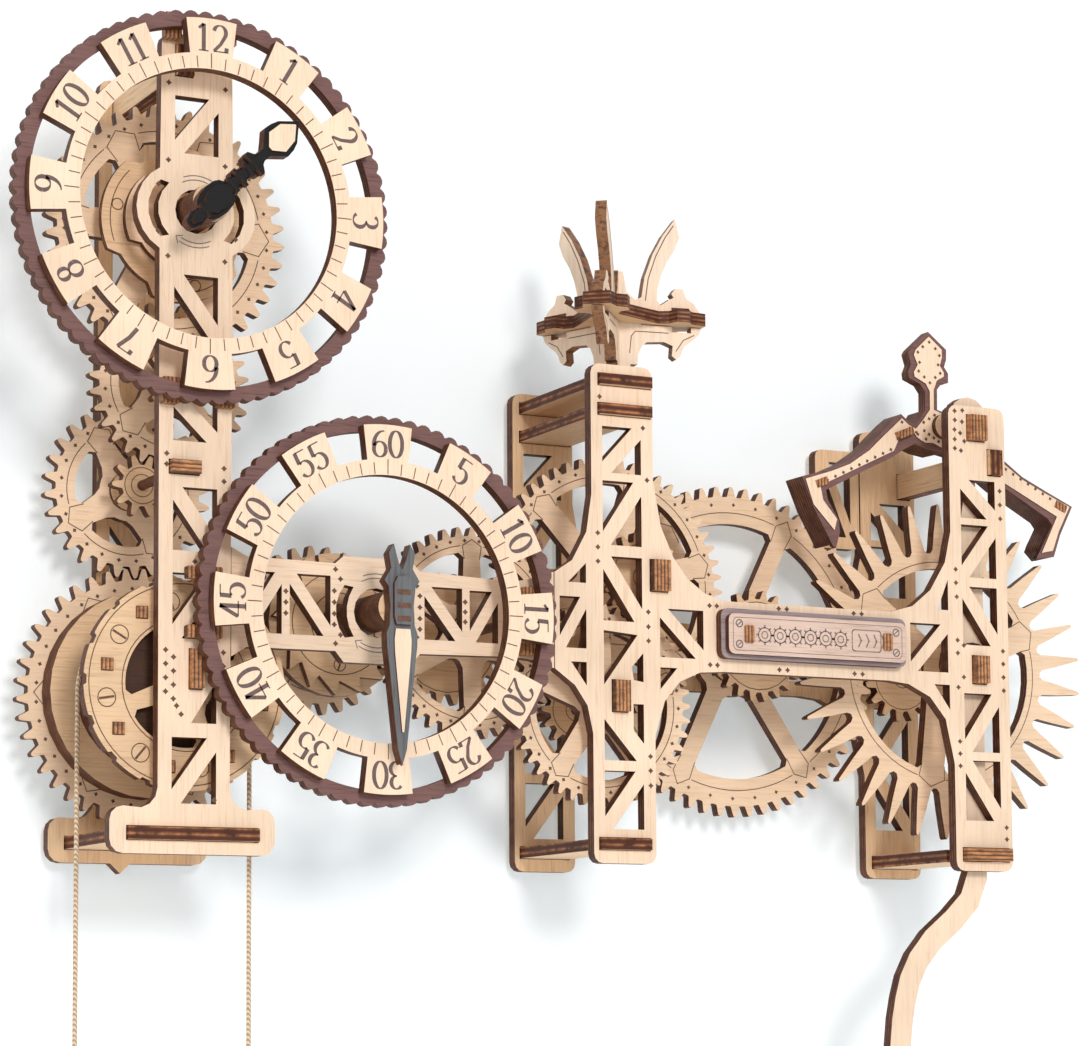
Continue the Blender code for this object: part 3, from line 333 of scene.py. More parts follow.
def sheet(name, body, material, outline, holes, y, thickness):
    """A flat piece standing in the XZ plane, front face at y; all in millimetres."""
    curve = bpy.data.curves.new(name, "CURVE")
    curve.dimensions = "2D"
    curve.fill_mode = "BOTH"
    curve.extrude = thickness / 2 * MM
    for loop in [outline] + list(holes):
        spline = curve.splines.new("POLY")
        spline.points.add(len(loop) - 1)
        for point, (x, z) in zip(spline.points, loop):
            point.co = (x * MM, z * MM, 0.0, 1.0)
        spline.use_cyclic_u = True
    obj = placed(name, curve)
    obj.rotation_euler = (math.radians(90), 0.0, 0.0)
    obj.location = (0.0, (y + thickness / 2) * MM, 0.0)
    bpy.context.view_layer.update()
    graph = bpy.context.evaluated_depsgraph_get()
    mesh = bpy.data.meshes.new_from_object(obj.evaluated_get(graph))
    mesh.transform(obj.matrix_world)
    bpy.data.objects.remove(obj, do_unlink=True)
    return dress(placed(name, mesh), body, material)


def both_faces(front_y, rear_y):
    """(side, y, word) of a sheet's two faces."""
    return (-1, front_y, "front"), (1, rear_y, "rear")


class Marks:
    """Many engraved shapes, kept as one thin mesh just off a face."""

    def __init__(self, name, body, y, material, slot="birch_ply", side=-1):
        self.name = name
        self.body = body
        self.y = y + side * 0.04
        self.side = side
        self.material = material
        self.slot = slot
        self.mesh = bmesh.new()

    def polygon(self, points):
        verts = [self.mesh.verts.new((x * MM, self.y * MM, z * MM)) for x, z in points]
        face = self.mesh.faces.new(verts)
        face.normal_update()
        if face.normal.y * self.side < 0:
            face.normal_flip()

    def line(self, points, width, closed=False):
        if closed:
            points = list(points) + [points[0]]
        for (x0, z0), (x1, z1) in zip(points, points[1:]):
            dx = x1 - x0
            dz = z1 - z0
            length = math.hypot(dx, dz)
            if length < 1e-6:
                continue
            nx = -dz / length * width / 2
            nz = dx / length * width / 2
            ex = dx / length * width * 0.25
            ez = dz / length * width * 0.25
            self.polygon([(x0 - ex + nx, z0 - ez + nz), (x0 - ex - nx, z0 - ez - nz),
                          (x1 + ex - nx, z1 + ez - nz), (x1 + ex + nx, z1 + ez + nz)])

    def star(self, x, z, size, turn=0.0):
        self.polygon([polar((x, z), size * (0.72 if i % 2 else 1.15), turn + i * 45.0) for i in range(8)])

    def screw(self, centre, radius, count, half_slot, turn, ring_width, slot_width):
        self.line(ring(radius, count, centre), ring_width, True)
        self.line([polar(centre, half_slot, turn), polar(centre, -half_slot, turn)], slot_width)

    def pen(self, points, thick, thin):
        """A stroke whose width follows its direction: heavy uprights, light levels."""
        sides = []
        for i, point in enumerate(points):
            before = points[max(0, i - 1)]
            after = points[min(len(points) - 1, i + 1)]
            dx = after[0] - before[0]
            dz = after[1] - before[1]
            length = math.hypot(dx, dz) or 1.0
            half = (thin + (thick - thin) * abs(dz / length) ** 1.5) / 2
            sides.append((point, (-dz / length, dx / length), half))
        return sides

    def glyph(self, strokes, place, size, turn, thick=0.15, thin=0.045):
        """Strokes in a unit-high box drawn at place, turned by turn degrees."""
        cos = math.cos(math.radians(turn))
        sin = math.sin(math.radians(turn))
        for stroke in strokes:
            left = []
            right_side = []
            for (x, z), (nx, nz), half in self.pen(stroke, thick, thin):
                for sign, store in ((1, left), (-1, right_side)):
                    px = (x + nx * half * sign) * size
                    pz = (z + nz * half * sign) * size
                    store.append((place[0] + px * cos - pz * sin, place[1] + px * sin + pz * cos))
            for i in range(len(left) - 1):
                self.polygon([left[i], right_side[i], right_side[i + 1], left[i + 1]])

    def done(self):
        data = bpy.data.meshes.new(self.name)
        self.mesh.to_mesh(data)
        self.mesh.free()
        return dress(placed(self.name, data), self.body, self.material)


def oval(cx, cz, rx, rz, start, end, count):
    return [(cx + rx * x, cz + rz * z) for x, z in arc((0.0, 0.0), 1.0, start, end, count)]


DIGITS = {
    "0": [oval(0.0, 0.5, 0.24, 0.47, 0, 360, 26)],
    "1": [[(0.02, 0.02), (0.02, 0.97)], [(0.02, 0.96), (-0.16, 0.80)], [(-0.16, 0.02), (0.20, 0.02)]],
    "2": [oval(0.0, 0.72, 0.22, 0.25, 170, -40, 14) + [(0.02, 0.30), (-0.22, 0.05)],
          [(-0.24, 0.04), (0.24, 0.04)], [(0.235, 0.02), (0.25, 0.20)]],
    "3": [oval(0.0, 0.745, 0.20, 0.225, 150, -90, 14), oval(-0.01, 0.27, 0.24, 0.25, 90, -150, 16)],
    "4": [[(0.09, 0.02), (0.09, 0.97)], [(0.09, 0.97), (-0.26, 0.30)], [(-0.27, 0.29), (0.27, 0.29)],
          [(-0.05, 0.02), (0.23, 0.02)]],
    "5": [[(-0.17, 0.95), (0.20, 0.95)], [(-0.17, 0.96), (-0.19, 0.54)],
          oval(-0.02, 0.31, 0.24, 0.28, 128, -152, 16)],
    "6": [oval(0.0, 0.29, 0.23, 0.27, 0, 360, 22), oval(0.16, 0.44, 0.39, 0.50, 185, 88, 12)],
    "7": [[(-0.23, 0.95), (0.25, 0.95)], [(0.25, 0.95), (0.04, 0.45), (-0.04, 0.02)],
          [(-0.225, 0.97), (-0.24, 0.80)]],
    "8": [oval(0.0, 0.745, 0.185, 0.215, 0, 360, 20), oval(0.0, 0.27, 0.235, 0.25, 0, 360, 22)],
}
DIGITS["9"] = [[(-x, 1.0 - z) for x, z in stroke] for stroke in DIGITS["6"]]


def numeral(marks, text, centre, radius, degrees, size):
    """A number on a dial, its foot towards the centre."""
    turn = degrees - 90.0
    advance = 0.62 * (0.78 if text == "11" else 1.0)
    base = polar(centre, radius - size / 2, degrees)
    for i, digit in enumerate(text):
        shift = (i - (len(text) - 1) / 2) * advance * size
        marks.glyph(DIGITS[digit], polar(base, shift, turn), size, turn)


# ---- cords
def weight_cord(side, node, name):
    """The cord from the drum to its end ring, on the line its CAD tube follows."""
    drum = axis_of("drum_spin")
    reach = 24.0
    ring_top = -138.0
    y = {-1: -25.5, 1: -40.5}[side]
    route = []
    for i in range(24):
        part = 1 - i / 23
        x, z = polar(drum, reach, 90 - side * 90 + side * 100.0 * part)
        route.append((x, y - 5.0 * part, z))
    x = drum[0] + side * reach
    level = drum[1] - 4.0
    while level > ring_top + 2.0:
        route.append((x, y, level))
        level -= 4.0
    route.append((x, y, ring_top))
    curve = bpy.data.curves.new(name, "CURVE")
    curve.dimensions = "3D"
    curve.bevel_depth = 0.7 * MM
    curve.bevel_resolution = 3
    curve.use_fill_caps = True
    spline = curve.splines.new("POLY")
    spline.points.add(len(route) - 1)
    for point, place in zip(spline.points, route):
        point.co = (*[v * MM for v in place], 1.0)
    obj = dress(placed(name, curve), "frame", ROPE)
    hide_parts(node)
    return obj


weight_cord(-1, "left_cord", "left_weight_cord")
weight_cord(1, "right_cord", "right_weight_cord")

# ---- materials on the CAD
for wood, nodes in (
        ("frame", "left_front_frame main_front_frame pendulum_rod"),
        ("bar", "arm_front_plate"),
        ("rear", "left_back_frame main_back_frame arm_back_plate rear_side_plate"),
        ("dial", "hour_dial_face minute_dial_face"),
        ("shelf", "left_base_shelf centre_top_beam_upper centre_top_beam_lower centre_base_beam "
                  "right_base_beam"),
        ("upright", "left_top_beam right_upper_beam"),
        ("tenon_z", "idler_key right_base_key"),
        ("tenon_x", "drum_key second_key upper_key lower_key escape_key anchor_key"),
        ("inner", "great_arbor upper_arbor lower_arbor second_arbor minute_arbor drum_core "
                  "drum_front_disc idler_arbor reduction_arbor hour_arbor escape_arbor "
                  "left_cord_ring right_cord_ring"),
        ("flat", "ornament_rosette"), ("rim", "pendulum_bob"), ("lilac", "nameplate_backing"),
        ("panel", "nameplate_panel")):
    for node in nodes.split():
        paint(node, WOOD[wood])


def vane_material():
    """Plywood for the three upright leaves: pale on their faces, scorched on their edges."""
    material, tree, shader, coords = node_tree("birch_vanes")
    place = coords["Object"]
    fine = noise(tree, place, (700.0, 700.0, 60.0), 4.0)
    colour = ramp(tree, fine, [(0.3, shade(BIRCH, 0.86)), (0.6, BIRCH), (0.8, shade(BIRCH, 1.04))])
    scorch = noise(tree, place, (300.0, 300.0, 500.0))
    edge = ramp(tree, scorch, [(0.30, BURNT), (0.50, shade(AMBER, 0.6)), (0.66, shade(BURNT, 1.4))])
    facing = 0.0
    for azimuth in VANE_TURNS:
        angle = math.radians(azimuth + 90.0)
        dot = add(tree, "ShaderNodeVectorMath", operation="DOT_PRODUCT")
        tree.links.new(coords["Normal"], dot.inputs[0])
        dot.inputs[1].default_value = (math.cos(angle), math.sin(angle), 0.0)
        facing = maths(tree, "MAXIMUM", facing, maths(tree, "ABSOLUTE", dot.outputs["Value"]))
    flat = maths(tree, "GREATER_THAN", facing, 0.94)
    tree.links.new(mix(tree, flat, edge, colour), shader.inputs["Base Color"])
    tree.links.new(maths(tree, "ADD", maths(tree, "MULTIPLY", fine, 0.25), 0.45),
                   shader.inputs["Roughness"])
    return material


VANE_TURNS = (-9.2, 110.8, 230.8)
VANE_AXIS = (3.0, -48.0)
paint("ornament_vanes", vane_material())

# ---- fine wheels
ADDENDUM = 0.82
DEDENDUM = 1.15


def tooth_loop(centre, teeth, pitch_r, module, phase):
    """Teeth with soft shoulders and a rounded valley, inside the CAD tooth."""
    tip = pitch_r + ADDENDUM * module
    root = pitch_r - DEDENDUM * module
    step = 360.0 / teeth
    shape = ((-0.40, 0.0), (-0.31, 0.03), (-0.265, 0.18), (-0.20, 0.50), (-0.135, 0.82),
             (-0.085, 0.96), (-0.03, 1.0), (0.03, 1.0), (0.085, 0.96), (0.135, 0.82),
             (0.20, 0.50), (0.265, 0.18), (0.31, 0.03), (0.40, 0.0))
    points = []
    for i in range(teeth):
        for offset, height in shape:
            points.append(polar(centre, root + (tip - root) * height, phase + (i + offset) * step))
    return points


def meshed(a, teeth_a, phase_a, b, teeth_b):
    line = math.degrees(math.atan2(b[1] - a[1], b[0] - a[0]))
    return line + 180.0 - (phase_a - line) * teeth_a / teeth_b + 180.0 / teeth_b


def pair(a, teeth_a, b, teeth_b):
    return 2 * math.hypot(b[0] - a[0], b[1] - a[1]) / (teeth_a + teeth_b)


GREAT = axis_of("great_spin")
UPPER = axis_of("upper_spin")
LOWER = axis_of("lower_spin")
SECOND = axis_of("second_spin")
MINUTE = axis_of("minute_spin")
DRUM = axis_of("drum_spin")
IDLER = axis_of("idler_spin")
REDUCTION = axis_of("reduction_spin")
HOUR = axis_of("hour_spin")
ESCAPE = axis_of("escape_spin")
PIVOT = axis_of("pendulum_swing")

UPPER_PHASE = meshed(GREAT, 22, 0.0, UPPER, 52)
LOWER_PHASE = meshed(UPPER, 18, 0.0, LOWER, 42)
SECOND_PHASE = meshed(LOWER, 14, 0.0, SECOND, 42)
MINUTE_PHASE = meshed(SECOND, 22, 0.0, MINUTE, 28)
DRUM_PHASE = meshed(MINUTE, 28, MINUTE_PHASE, DRUM, 42)
IDLER_PHASE = meshed(DRUM, 42, DRUM_PHASE, IDLER, 28)
REDUCTION_PHASE = meshed(IDLER, 10, 0.0, REDUCTION, 30)
HOUR_PHASE = meshed(REDUCTION, 10, 0.0, HOUR, 40)


CORNER = 1.6


def spoke_windows(centre, hub_r, rim_r, spokes, first, width):
    """Openings between spokes, with rounded corners."""
    windows = []
    step = 360.0 / spokes
    for i in range(spokes):
        low = first + i * step
        outer = math.degrees(math.asin(width / 2 / rim_r))
        inner = math.degrees(math.asin(width / 2 / hub_r))
        soft = math.degrees(CORNER / rim_r)
        loop = [polar(centre, rim_r - CORNER, low + outer * 1.02)]
        loop += arc(centre, rim_r, low + outer + soft, low + step - outer - soft, 14)
        loop += [polar(centre, rim_r - CORNER, low + step - outer * 1.02)]
        soft = math.degrees(CORNER / hub_r)
        if low + step - inner - soft > low + inner + soft:
            loop += [polar(centre, hub_r + CORNER, low + step - inner * 0.94)]
            loop += arc(centre, hub_r, low + step - inner - soft, low + inner + soft, 6)
            loop += [polar(centre, hub_r + CORNER, low + inner * 0.94)]
        else:
            loop += [polar(centre, hub_r, low + step / 2)]
        windows.append(loop)
    return windows


DISC_T = 1.6


def fine_wheel(node, body, centre, teeth, module, phase, spokes, first, hub_r, rim_w, width,
               stars=True, hub=7.0):
    """A detailed wheel in place of its CAD node: teeth, spokes, engraved ring and hub."""
    low, high = span(node)
    y = low[1]
    pitch_r = teeth * module / 2
    root = pitch_r - DEDENDUM * module
    rim_r = root - rim_w
    holes = [ring(1.8, 16, centre)] + spoke_windows(centre, hub_r, rim_r, spokes, first, width)
    wheel = sheet(node + "_fine", body, WOOD["wheel"],
                  tooth_loop(centre, teeth, pitch_r, module, phase), holes, y, high[1] - y)
    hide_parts(node)
    step = 360.0 / spokes
    groove = rim_r + rim_w * 0.42
    half = math.degrees(width / 2 / rim_r)
    for side, face, word in both_faces(y, high[1]):
        marks = Marks("%s_lines_%s" % (node, word), body, face, WOOD["line"], "wheel_ply", side)
        for i in range(spokes):
            middle = first + i * step
            marks.line(arc(centre, groove, middle + half * 1.25, middle + step - half * 1.25, 12), 0.28)
            marks.line([polar(centre, radius, middle + turn) for radius, turn in (
                (rim_r - 2.0, -half * 0.96), (groove, -half), (rim_r + rim_w * 0.80, 0.0),
                (groove, half), (rim_r - 2.0, half * 0.96))], 0.28)
        if stars:
            count = spokes * 6
            for i in range(count):
                angle = first + (i + 0.5) * 360.0 / count
                marks.star(*polar(centre, rim_r + rim_w * 0.72, angle), 0.62, angle)
        marks.done()
    if hub:
        for side, face, word in both_faces(y - DISC_T, high[1]):
            if side < 0 or high[1] <= -6.0:
                sheet("%s_hub_%s" % (node, word), body, WOOD["inner"], ring(hub, 28, centre),
                      [ring(2.0, 12, centre)], face, DISC_T)


# modules of the meshing pairs, from the distances between their arbors
TRAIN = 1.77
GREAT_M = pair(GREAT, 60, ESCAPE, 15)
UPPER_M = pair(UPPER, 52, GREAT, 22)
LOWER_M = pair(LOWER, 42, UPPER, 18)
SECOND_M = pair(SECOND, 42, LOWER, 14)
REDUCTION_M = pair(REDUCTION, 30, IDLER, 10)
HOUR_M = pair(HOUR, 40, REDUCTION, 10)
fine_wheel("great_wheel", "great", GREAT, 60, GREAT_M, 0.0, 6, 4, 15.0, 9.0, 6.2, hub=11.0)
fine_wheel("upper_wheel", "upper", UPPER, 52, UPPER_M, UPPER_PHASE, 6, 14, 12.0, 5.5, 7.5, hub=8.0)
fine_wheel("lower_wheel", "lower", LOWER, 42, LOWER_M, LOWER_PHASE, 5, 18, 8.0, 5.5, 6.5, hub=0)
fine_wheel("second_wheel", "second", SECOND, 42, SECOND_M, SECOND_PHASE, 6, 30, 10.0, 5.0, 6.0)
fine_wheel("minute_wheel", "minute_train", MINUTE, 28, TRAIN, MINUTE_PHASE, 4, 45, 9.0, 6.0, 8.5,
           stars=False, hub=0)
fine_wheel("drum_wheel", "drum", DRUM, 42, TRAIN, DRUM_PHASE, 6, 0, 13.0, 9.0, 8.0, hub=0)
fine_wheel("idler_wheel", "idler", IDLER, 28, TRAIN, IDLER_PHASE, 4, 30, 9.0, 6.0, 7.0, hub=6.0)
fine_wheel("reduction_wheel", "reduction", REDUCTION, 30, REDUCTION_M, REDUCTION_PHASE, 4, 45, 9.0,
           6.0, 7.0, hub=6.0)
fine_wheel("hour_wheel", "hour_train", HOUR, 40, HOUR_M, HOUR_PHASE, 6, 0, 15.0, 7.5, 9.0, hub=0)


def fine_escape():
    """The escape wheel: long pointed teeth on a ring with three spokes."""
    low, high = span("escape_wheel")
    points = []
    for i in range(30):
        middle = 6.6 + i * 12.0
        for offset, radius in ((-5.0, 39.4), (-3.6, 40.6), (-2.3, 46.5), (-0.55, 55.3), (0.0, 55.9),
                               (0.55, 55.3), (2.3, 46.5), (3.6, 40.6), (5.0, 39.4)):
            points.append(polar(ESCAPE, radius, middle + offset))
    holes = [ring(1.8, 16, ESCAPE)] + spoke_windows(ESCAPE, 9.0, 34.2, 3, 22, 9.0)
    wheel = sheet("escape_wheel_fine", "escape", WOOD["wheel"], points, holes, low[1],
                  high[1] - low[1])
    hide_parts("escape_wheel")
    for side, face, word in both_faces(low[1], high[1]):
        marks = Marks("escape_lines_" + word, "escape", face, WOOD["line"], "wheel_ply", side)
        for i in range(3):
            middle = 22 + i * 120
            marks.line(arc(ESCAPE, 36.4, middle + 9, middle + 111, 30), 0.28)
            marks.line([polar(ESCAPE, radius, middle + turn) for radius, turn in (
                (32.0, -8), (36.4, -8), (39.0, 0), (36.4, 8), (32.0, 8))], 0.28)
        marks.done()
    for side, face, word in both_faces(low[1] - DISC_T, high[1]):
        sheet("escape_hub_" + word, "escape", WOOD["inner"], ring(8.5, 24, ESCAPE),
              [ring(2.0, 12, ESCAPE)], face, DISC_T)


fine_escape()


def fine_pinion(node, body, centre, teeth, module, y):
    """Rounded pinion teeth, with engraved rings on their front, laid over the CAD pinion."""
    outline = tooth_loop(centre, teeth, teeth * module / 2, module * 0.98, 0.0)
    sheet(node + "_teeth", body, WOOD["inner"], outline, [ring(1.6, 14, centre)], y - 0.12, 3.84)
    marks = Marks(node + "_lines", body, y - 0.12, WOOD["line"], "wheel_ply")
    marks.line(ring(teeth * module / 2 - 2.6, 24, centre), 0.26, True)
    marks.line(ring(3.4, 16, centre), 0.26, True)
    marks.done()


fine_pinion("reduction_pinion", "reduction", REDUCTION, 10, HOUR_M, -33.3)
fine_pinion("idler_pinion", "idler", IDLER, 10, REDUCTION_M, -25.3)
fine_pinion("second_pinion", "second", SECOND, 22, TRAIN, -13.3)
fine_pinion("lower_pinion", "lower", LOWER, 14, SECOND_M, -31.3)
fine_pinion("upper_pinion", "upper", UPPER, 18, LOWER_M, -48.9)
fine_pinion("great_pinion", "great", GREAT, 22, UPPER_M, -27.3)
fine_pinion("escape_pinion", "escape", ESCAPE, 15, GREAT_M, -11.3)

# ---- dials
RING_IN = 39.6
RING_OUT = 44.2
PAD_OUT = 54.6
RIM_IN = 53.2
DIAL_R = 57.8
SCALLOPS = 76


def dial(prefix, centre, labels):
    low, high = span(prefix + "_dial_rim")
    wavy = []
    for i in range(SCALLOPS):
        for part, depth in ((0.0, 0.0), (0.25, 0.30), (0.5, 1.25), (0.75, 0.30)):
            wavy.append(polar(centre, DIAL_R + 0.2 - depth, (i + part) * 360.0 / SCALLOPS))
    rim = sheet(prefix + "_rim_scalloped", "frame", WOOD["rim"], wavy,
                [ring(RIM_IN, 120, centre)], low[1], high[1] - low[1])
    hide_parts(prefix + "_dial_rim")
    face_low, face_high = span(prefix + "_dial_face")
    pads = []
    for hour in range(12):
        middle = 90.0 - 30.0 * hour
        pads += arc(centre, PAD_OUT, middle + 8.2, middle - 8.2, 9)
        pads += arc(centre, RING_OUT, middle - 8.6, middle - 21.4, 8)
    face = sheet(prefix + "_face_fine", "frame", WOOD["dial"], pads, [ring(RING_IN, 120, centre)],
                 face_low[1], face_high[1] - face_low[1])
    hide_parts(prefix + "_dial_face")
    marks = Marks(prefix + "_numerals", "frame", face_low[1], WOOD["ink"])
    ticks = Marks(prefix + "_ticks", "frame", face_low[1], WOOD["line"])
    for minute in range(60):
        angle = 90.0 - 6.0 * minute
        inner = RING_IN + 0.3
        outer = RING_IN + (3.6 if minute % 5 else 4.6)
        ticks.line([polar(centre, inner, angle), polar(centre, outer, angle)], 0.30)
    for hour, label in enumerate(labels):
        numeral(marks, label, centre, 48.9, 90.0 - 30.0 * hour, 8.4)
    marks.done()
    ticks.done()
    for angle in (90.0, 270.0) if prefix == "hour" else (0.0, 180.0):
        for side in (-1, 1):
            x, z = polar(centre, 54.6, angle + side * 9.0)
            wide, tall = (2.6, 5.4) if prefix == "hour" else (5.4, 2.6)
            sheet("%s_tie_%d_%s" % (prefix, angle, "a" if side < 0 else "b"), "frame",
                  WOOD["tenon_x"], rounded(x - wide, x + wide, z - tall / 1.4, z + tall / 1.4, 0.5),
                  [], high[1], 2.9)


dial("hour", HOUR, ("12", "1", "2", "3", "4", "5", "6", "7", "8", "9", "10", "11"))
low, high = span("minute_dial_rim")
MINUTE_DIAL = ((low[0] + high[0]) / 2, (low[2] + high[2]) / 2)
dial("minute", MINUTE_DIAL, ("60", "5", "10", "15", "20", "25", "30", "35", "40", "45", "50", "55"))


# ---- hands
def along(base, tip, stations):
    """Closed outline from (distance, half width) stations on the line base to tip."""
    dx = tip[0] - base[0]
    dz = tip[1] - base[1]
    length = math.hypot(dx, dz)
    dx /= length
    dz /= length
    left = [(base[0] + d * dx - w * dz, base[1] + d * dz + w * dx) for d, w in stations]
    far = [(base[0] + d * dx + w * dz, base[1] + d * dz - w * dx) for d, w in reversed(stations)]
    return left + far


HOUR_TIP = (HOUR[0] + 25.4, HOUR[1] + 25.9)
HOUR_SHAPE = ((-12.0, 0.9), (-11.4, 1.6), (-9.0, 2.4), (-6.4, 1.9), (-5.2, 3.4), (-3.0, 4.4),
              (0.0, 4.8), (3.0, 4.4), (4.6, 3.6), (5.4, 2.3), (8.0, 2.0), (9.0, 2.8), (10.5, 2.8),
              (11.4, 1.9), (14.0, 1.9), (15.0, 3.5), (17.4, 3.8), (18.6, 2.0), (19.6, 1.5),
              (22.0, 1.5), (24.0, 3.1), (26.5, 5.2), (29.0, 5.0), (31.4, 4.2), (36.4, 0.15))
hand_y = span("hour_hand")[0][1]
hour_hand = sheet("hour_hand_fine", "hour_pointer", WOOD["black"], along(HOUR, HOUR_TIP, HOUR_SHAPE),
                  [ring(1.8, 16, HOUR)], hand_y, 4.0)
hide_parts("hour_hand")
INLAY = ((23.4, 0.7), (26.5, 3.7), (31.0, 3.2), (34.6, 0.2))
sheet("hour_hand_inlay", "hour_pointer", WOOD["dial"], along(HOUR, HOUR_TIP, INLAY), [],
      hand_y - 0.7, 0.7)
SPINE = ((-10.8, 0.8), (-8.4, 1.5), (-4.6, 1.3), (-2.6, 3.0), (0.0, 3.4), (2.6, 3.0), (5.0, 1.3),
         (16.0, 1.2), (20.0, 0.6))
sheet("hour_hand_spine", "hour_pointer", WOOD["black"], along(HOUR, HOUR_TIP, SPINE), [],
      hand_y - 1.5, 1.5)

for number, (start, half) in enumerate(((-6.2, 2.3), (5.6, 2.6), (8.9, 3.1), (12.6, 2.3), (15.2, 3.9))):
    sheet("hour_hand_band_%d" % number, "hour_pointer", WOOD["black"],
          along(HOUR, HOUR_TIP, ((start, half), (start + 1.0, half))), [], hand_y - 2.0, 2.0)
MINUTE_TIP = (MINUTE[0], MINUTE[1] - 46.2)
MINUTE_SHAPE = ((-10.8, 0.25), (-14.0, 1.5), (-18.2, 2.6), (-15.4, 4.2), (-11.0, 3.4), (-7.4, 5.6),
                (-5.6, 4.3), (0.0, 3.7), (3.0, 3.9), (5.6, 4.0), (8.0, 4.9), (12.0, 4.8), (15.0, 4.4),
                (42.0, 1.4), (46.2, 0.1))
minute_y = span("minute_hand")[0][1]
minute_hand = sheet("minute_hand_fine", "minute_pointer", WOOD["grey"],
                    along(MINUTE, MINUTE_TIP, MINUTE_SHAPE), [ring(1.8, 16, MINUTE)], minute_y, 4.0)
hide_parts("minute_hand")
sheet("minute_hand_inlay", "minute_pointer", WOOD["dial"],
      along(MINUTE, MINUTE_TIP, ((6.8, 2.3), (10.0, 2.7), (13.5, 2.6), (37.0, 0.3))), [],
      minute_y - 0.6, 0.6)
fork = along(MINUTE, MINUTE_TIP, ((-8.6, 1.9), (-6.4, 3.0), (-3.2, 3.0), (3.2, 3.0), (5.6, 2.4)))
sheet("minute_hand_spine", "minute_pointer", WOOD["grey"], fork, [], minute_y - 1.4, 1.4)
slots = Marks("minute_hand_slots", "minute_pointer", minute_y - 1.4, WOOD["line"], "dark_ply")
for z in (-3.9, 0.0, 3.9):
    slots.polygon(box(MINUTE[0] - 2.2, MINUTE[0] + 2.2, MINUTE[1] + z - 0.8, MINUTE[1] + z + 0.8))
slots.done()

# ---- nameplate
panel_low, panel_high = span("nameplate_panel")
plate_marks = Marks("nameplate_engraving", "frame", panel_low[1], WOOD["soft"])
x0 = panel_low[0] + 1.6
x1 = panel_high[0] - 1.6
z0 = panel_low[2] + 1.2
z1 = panel_high[2] - 1.2
middle = (z0 + z1) / 2
plate_marks.line(rounded(x0, x1, z0, z1, 1.6), 0.22, True)
for x in (x0 + 2.2, x1 - 2.2):
    for z in (z0 + 1.9, z1 - 1.9):
        plate_marks.screw((x, z), 1.15, 18, 0.8, 40, 0.34, 0.4)
left = x0 + 8.5
for i in range(6):
    cx = left + 2.9 + i * 5.6
    plate_marks.line(ring(2.3, 24, (cx, middle)), 0.34, True)
    plate_marks.line(ring(1.1, 16, (cx, middle)), 0.28, True)
    for k in range(8):
        plate_marks.line([polar((cx, middle), 2.3, k * 45), polar((cx, middle), 3.0, k * 45)], 0.55)
plate_marks.line(rounded(left + 35.2, x1 - 8.0, middle - 3.4, middle + 3.4, 1.0), 0.34, True)
for i in range(4):
    cx = left + 37.6 + i * 2.9
    plate_marks.line([(cx, middle - 2.0), (cx + 1.0, middle), (cx, middle + 2.0)], 0.5)
plate_marks.done()
for name, x in (("a", x0 + 5.6), ("b", x1 - 5.6)):
    sheet("nameplate_tenon_" + name, "frame", WOOD["tenon_x"],
          rounded(x - 1.6, x + 1.6, middle - 2.7, middle + 2.7, 0.4), [], panel_low[1] - 0.8, 0.8)

# ---- engraved dressing
front = span("main_front_frame")[0][1]
dots = Marks("front_stars", "frame", front, WOOD["line"])
for x, *heights in ((-8.6, 25.0, 20.6, 16.2), (8.9, 1.4, -3.2, -7.6), (9.2, -43.4, -47.8, -52.4),
        (30.8, 4.6), (33.4, 4.6), (30.8, -14.0), (33.4, -14.0), (56.0, 5.0), (59.0, 5.0), (84.0, 5.0),
        (87.0, 5.0), (56.0, -14.4), (59.0, -14.4), (84.0, -14.4), (87.0, -14.4), (123.6, 21.6, 17.2),
        (123.8, 12.6), (141.6, 44.0, 48.6, 39.4), (123.8, -1.6), (126.2, -3.2), (123.8, -5.8),
        (141.6, -4.4, -8.6), (126.0, -13.6), (123.8, -17.0), (141.6, -13.0, -17.4),
        (124.0, -38.6, -42.6, -34.6), (141.6, -62.2, -66.0), (128.0, 64.2), (126.4, 66.8),
        (-7.6, 67.6), (7.6, 58.9), (8.9, 42.6), (124.4, 74.0), (127.4, 74.4), (124.4, 71.0),
        (127.2, 70.6), (124.2, 67.8, 64.6, 61.6), (126.6, 61.0), (-149.4, 35.9, 39.0),
        (-131.7, 35.8, 32.0), (-140.6, 8.0), (-149.4, -18.0, -22.0, -26.0, -30.0),
        (-131.7, -18.0, -22.0), (-146.0, -34.0), (-144.6, -36.4), (-149.4, 97.0), (-131.7, 97.0),
        (-149.4, 125.5), (-131.7, 125.5), (-149.4, 148.6), (-131.7, 148.6), (-152.4, 104.0, 118.0),
        (-128.4, 104.0, 118.0), (-136.0, -57.8), (-134.4, -60.8), (-147.0, -20.0, -24.0, -28.0, -32.0),
        (-96.4, 8.4), (-94.8, 5.6), (-71.4, 8.0), (-70.0, 5.0), (-96.4, -13.6), (-94.8, -11.0),
        (-71.4, -13.2), (-70.0, -10.4), (-54.0, -2.0, -5.0, 1.0), (-112.2, -2.2, 1.0, -5.4),
        (-96.8, 2.0, -1.4, -4.8, -8.0), (-69.0, 2.0, -1.4, -4.8, -8.0)):
    for z in heights:
        dots.star(x, z, 0.8)
dots.done()
guide = Marks("hub_arrows", "frame", front, WOOD["soft"])
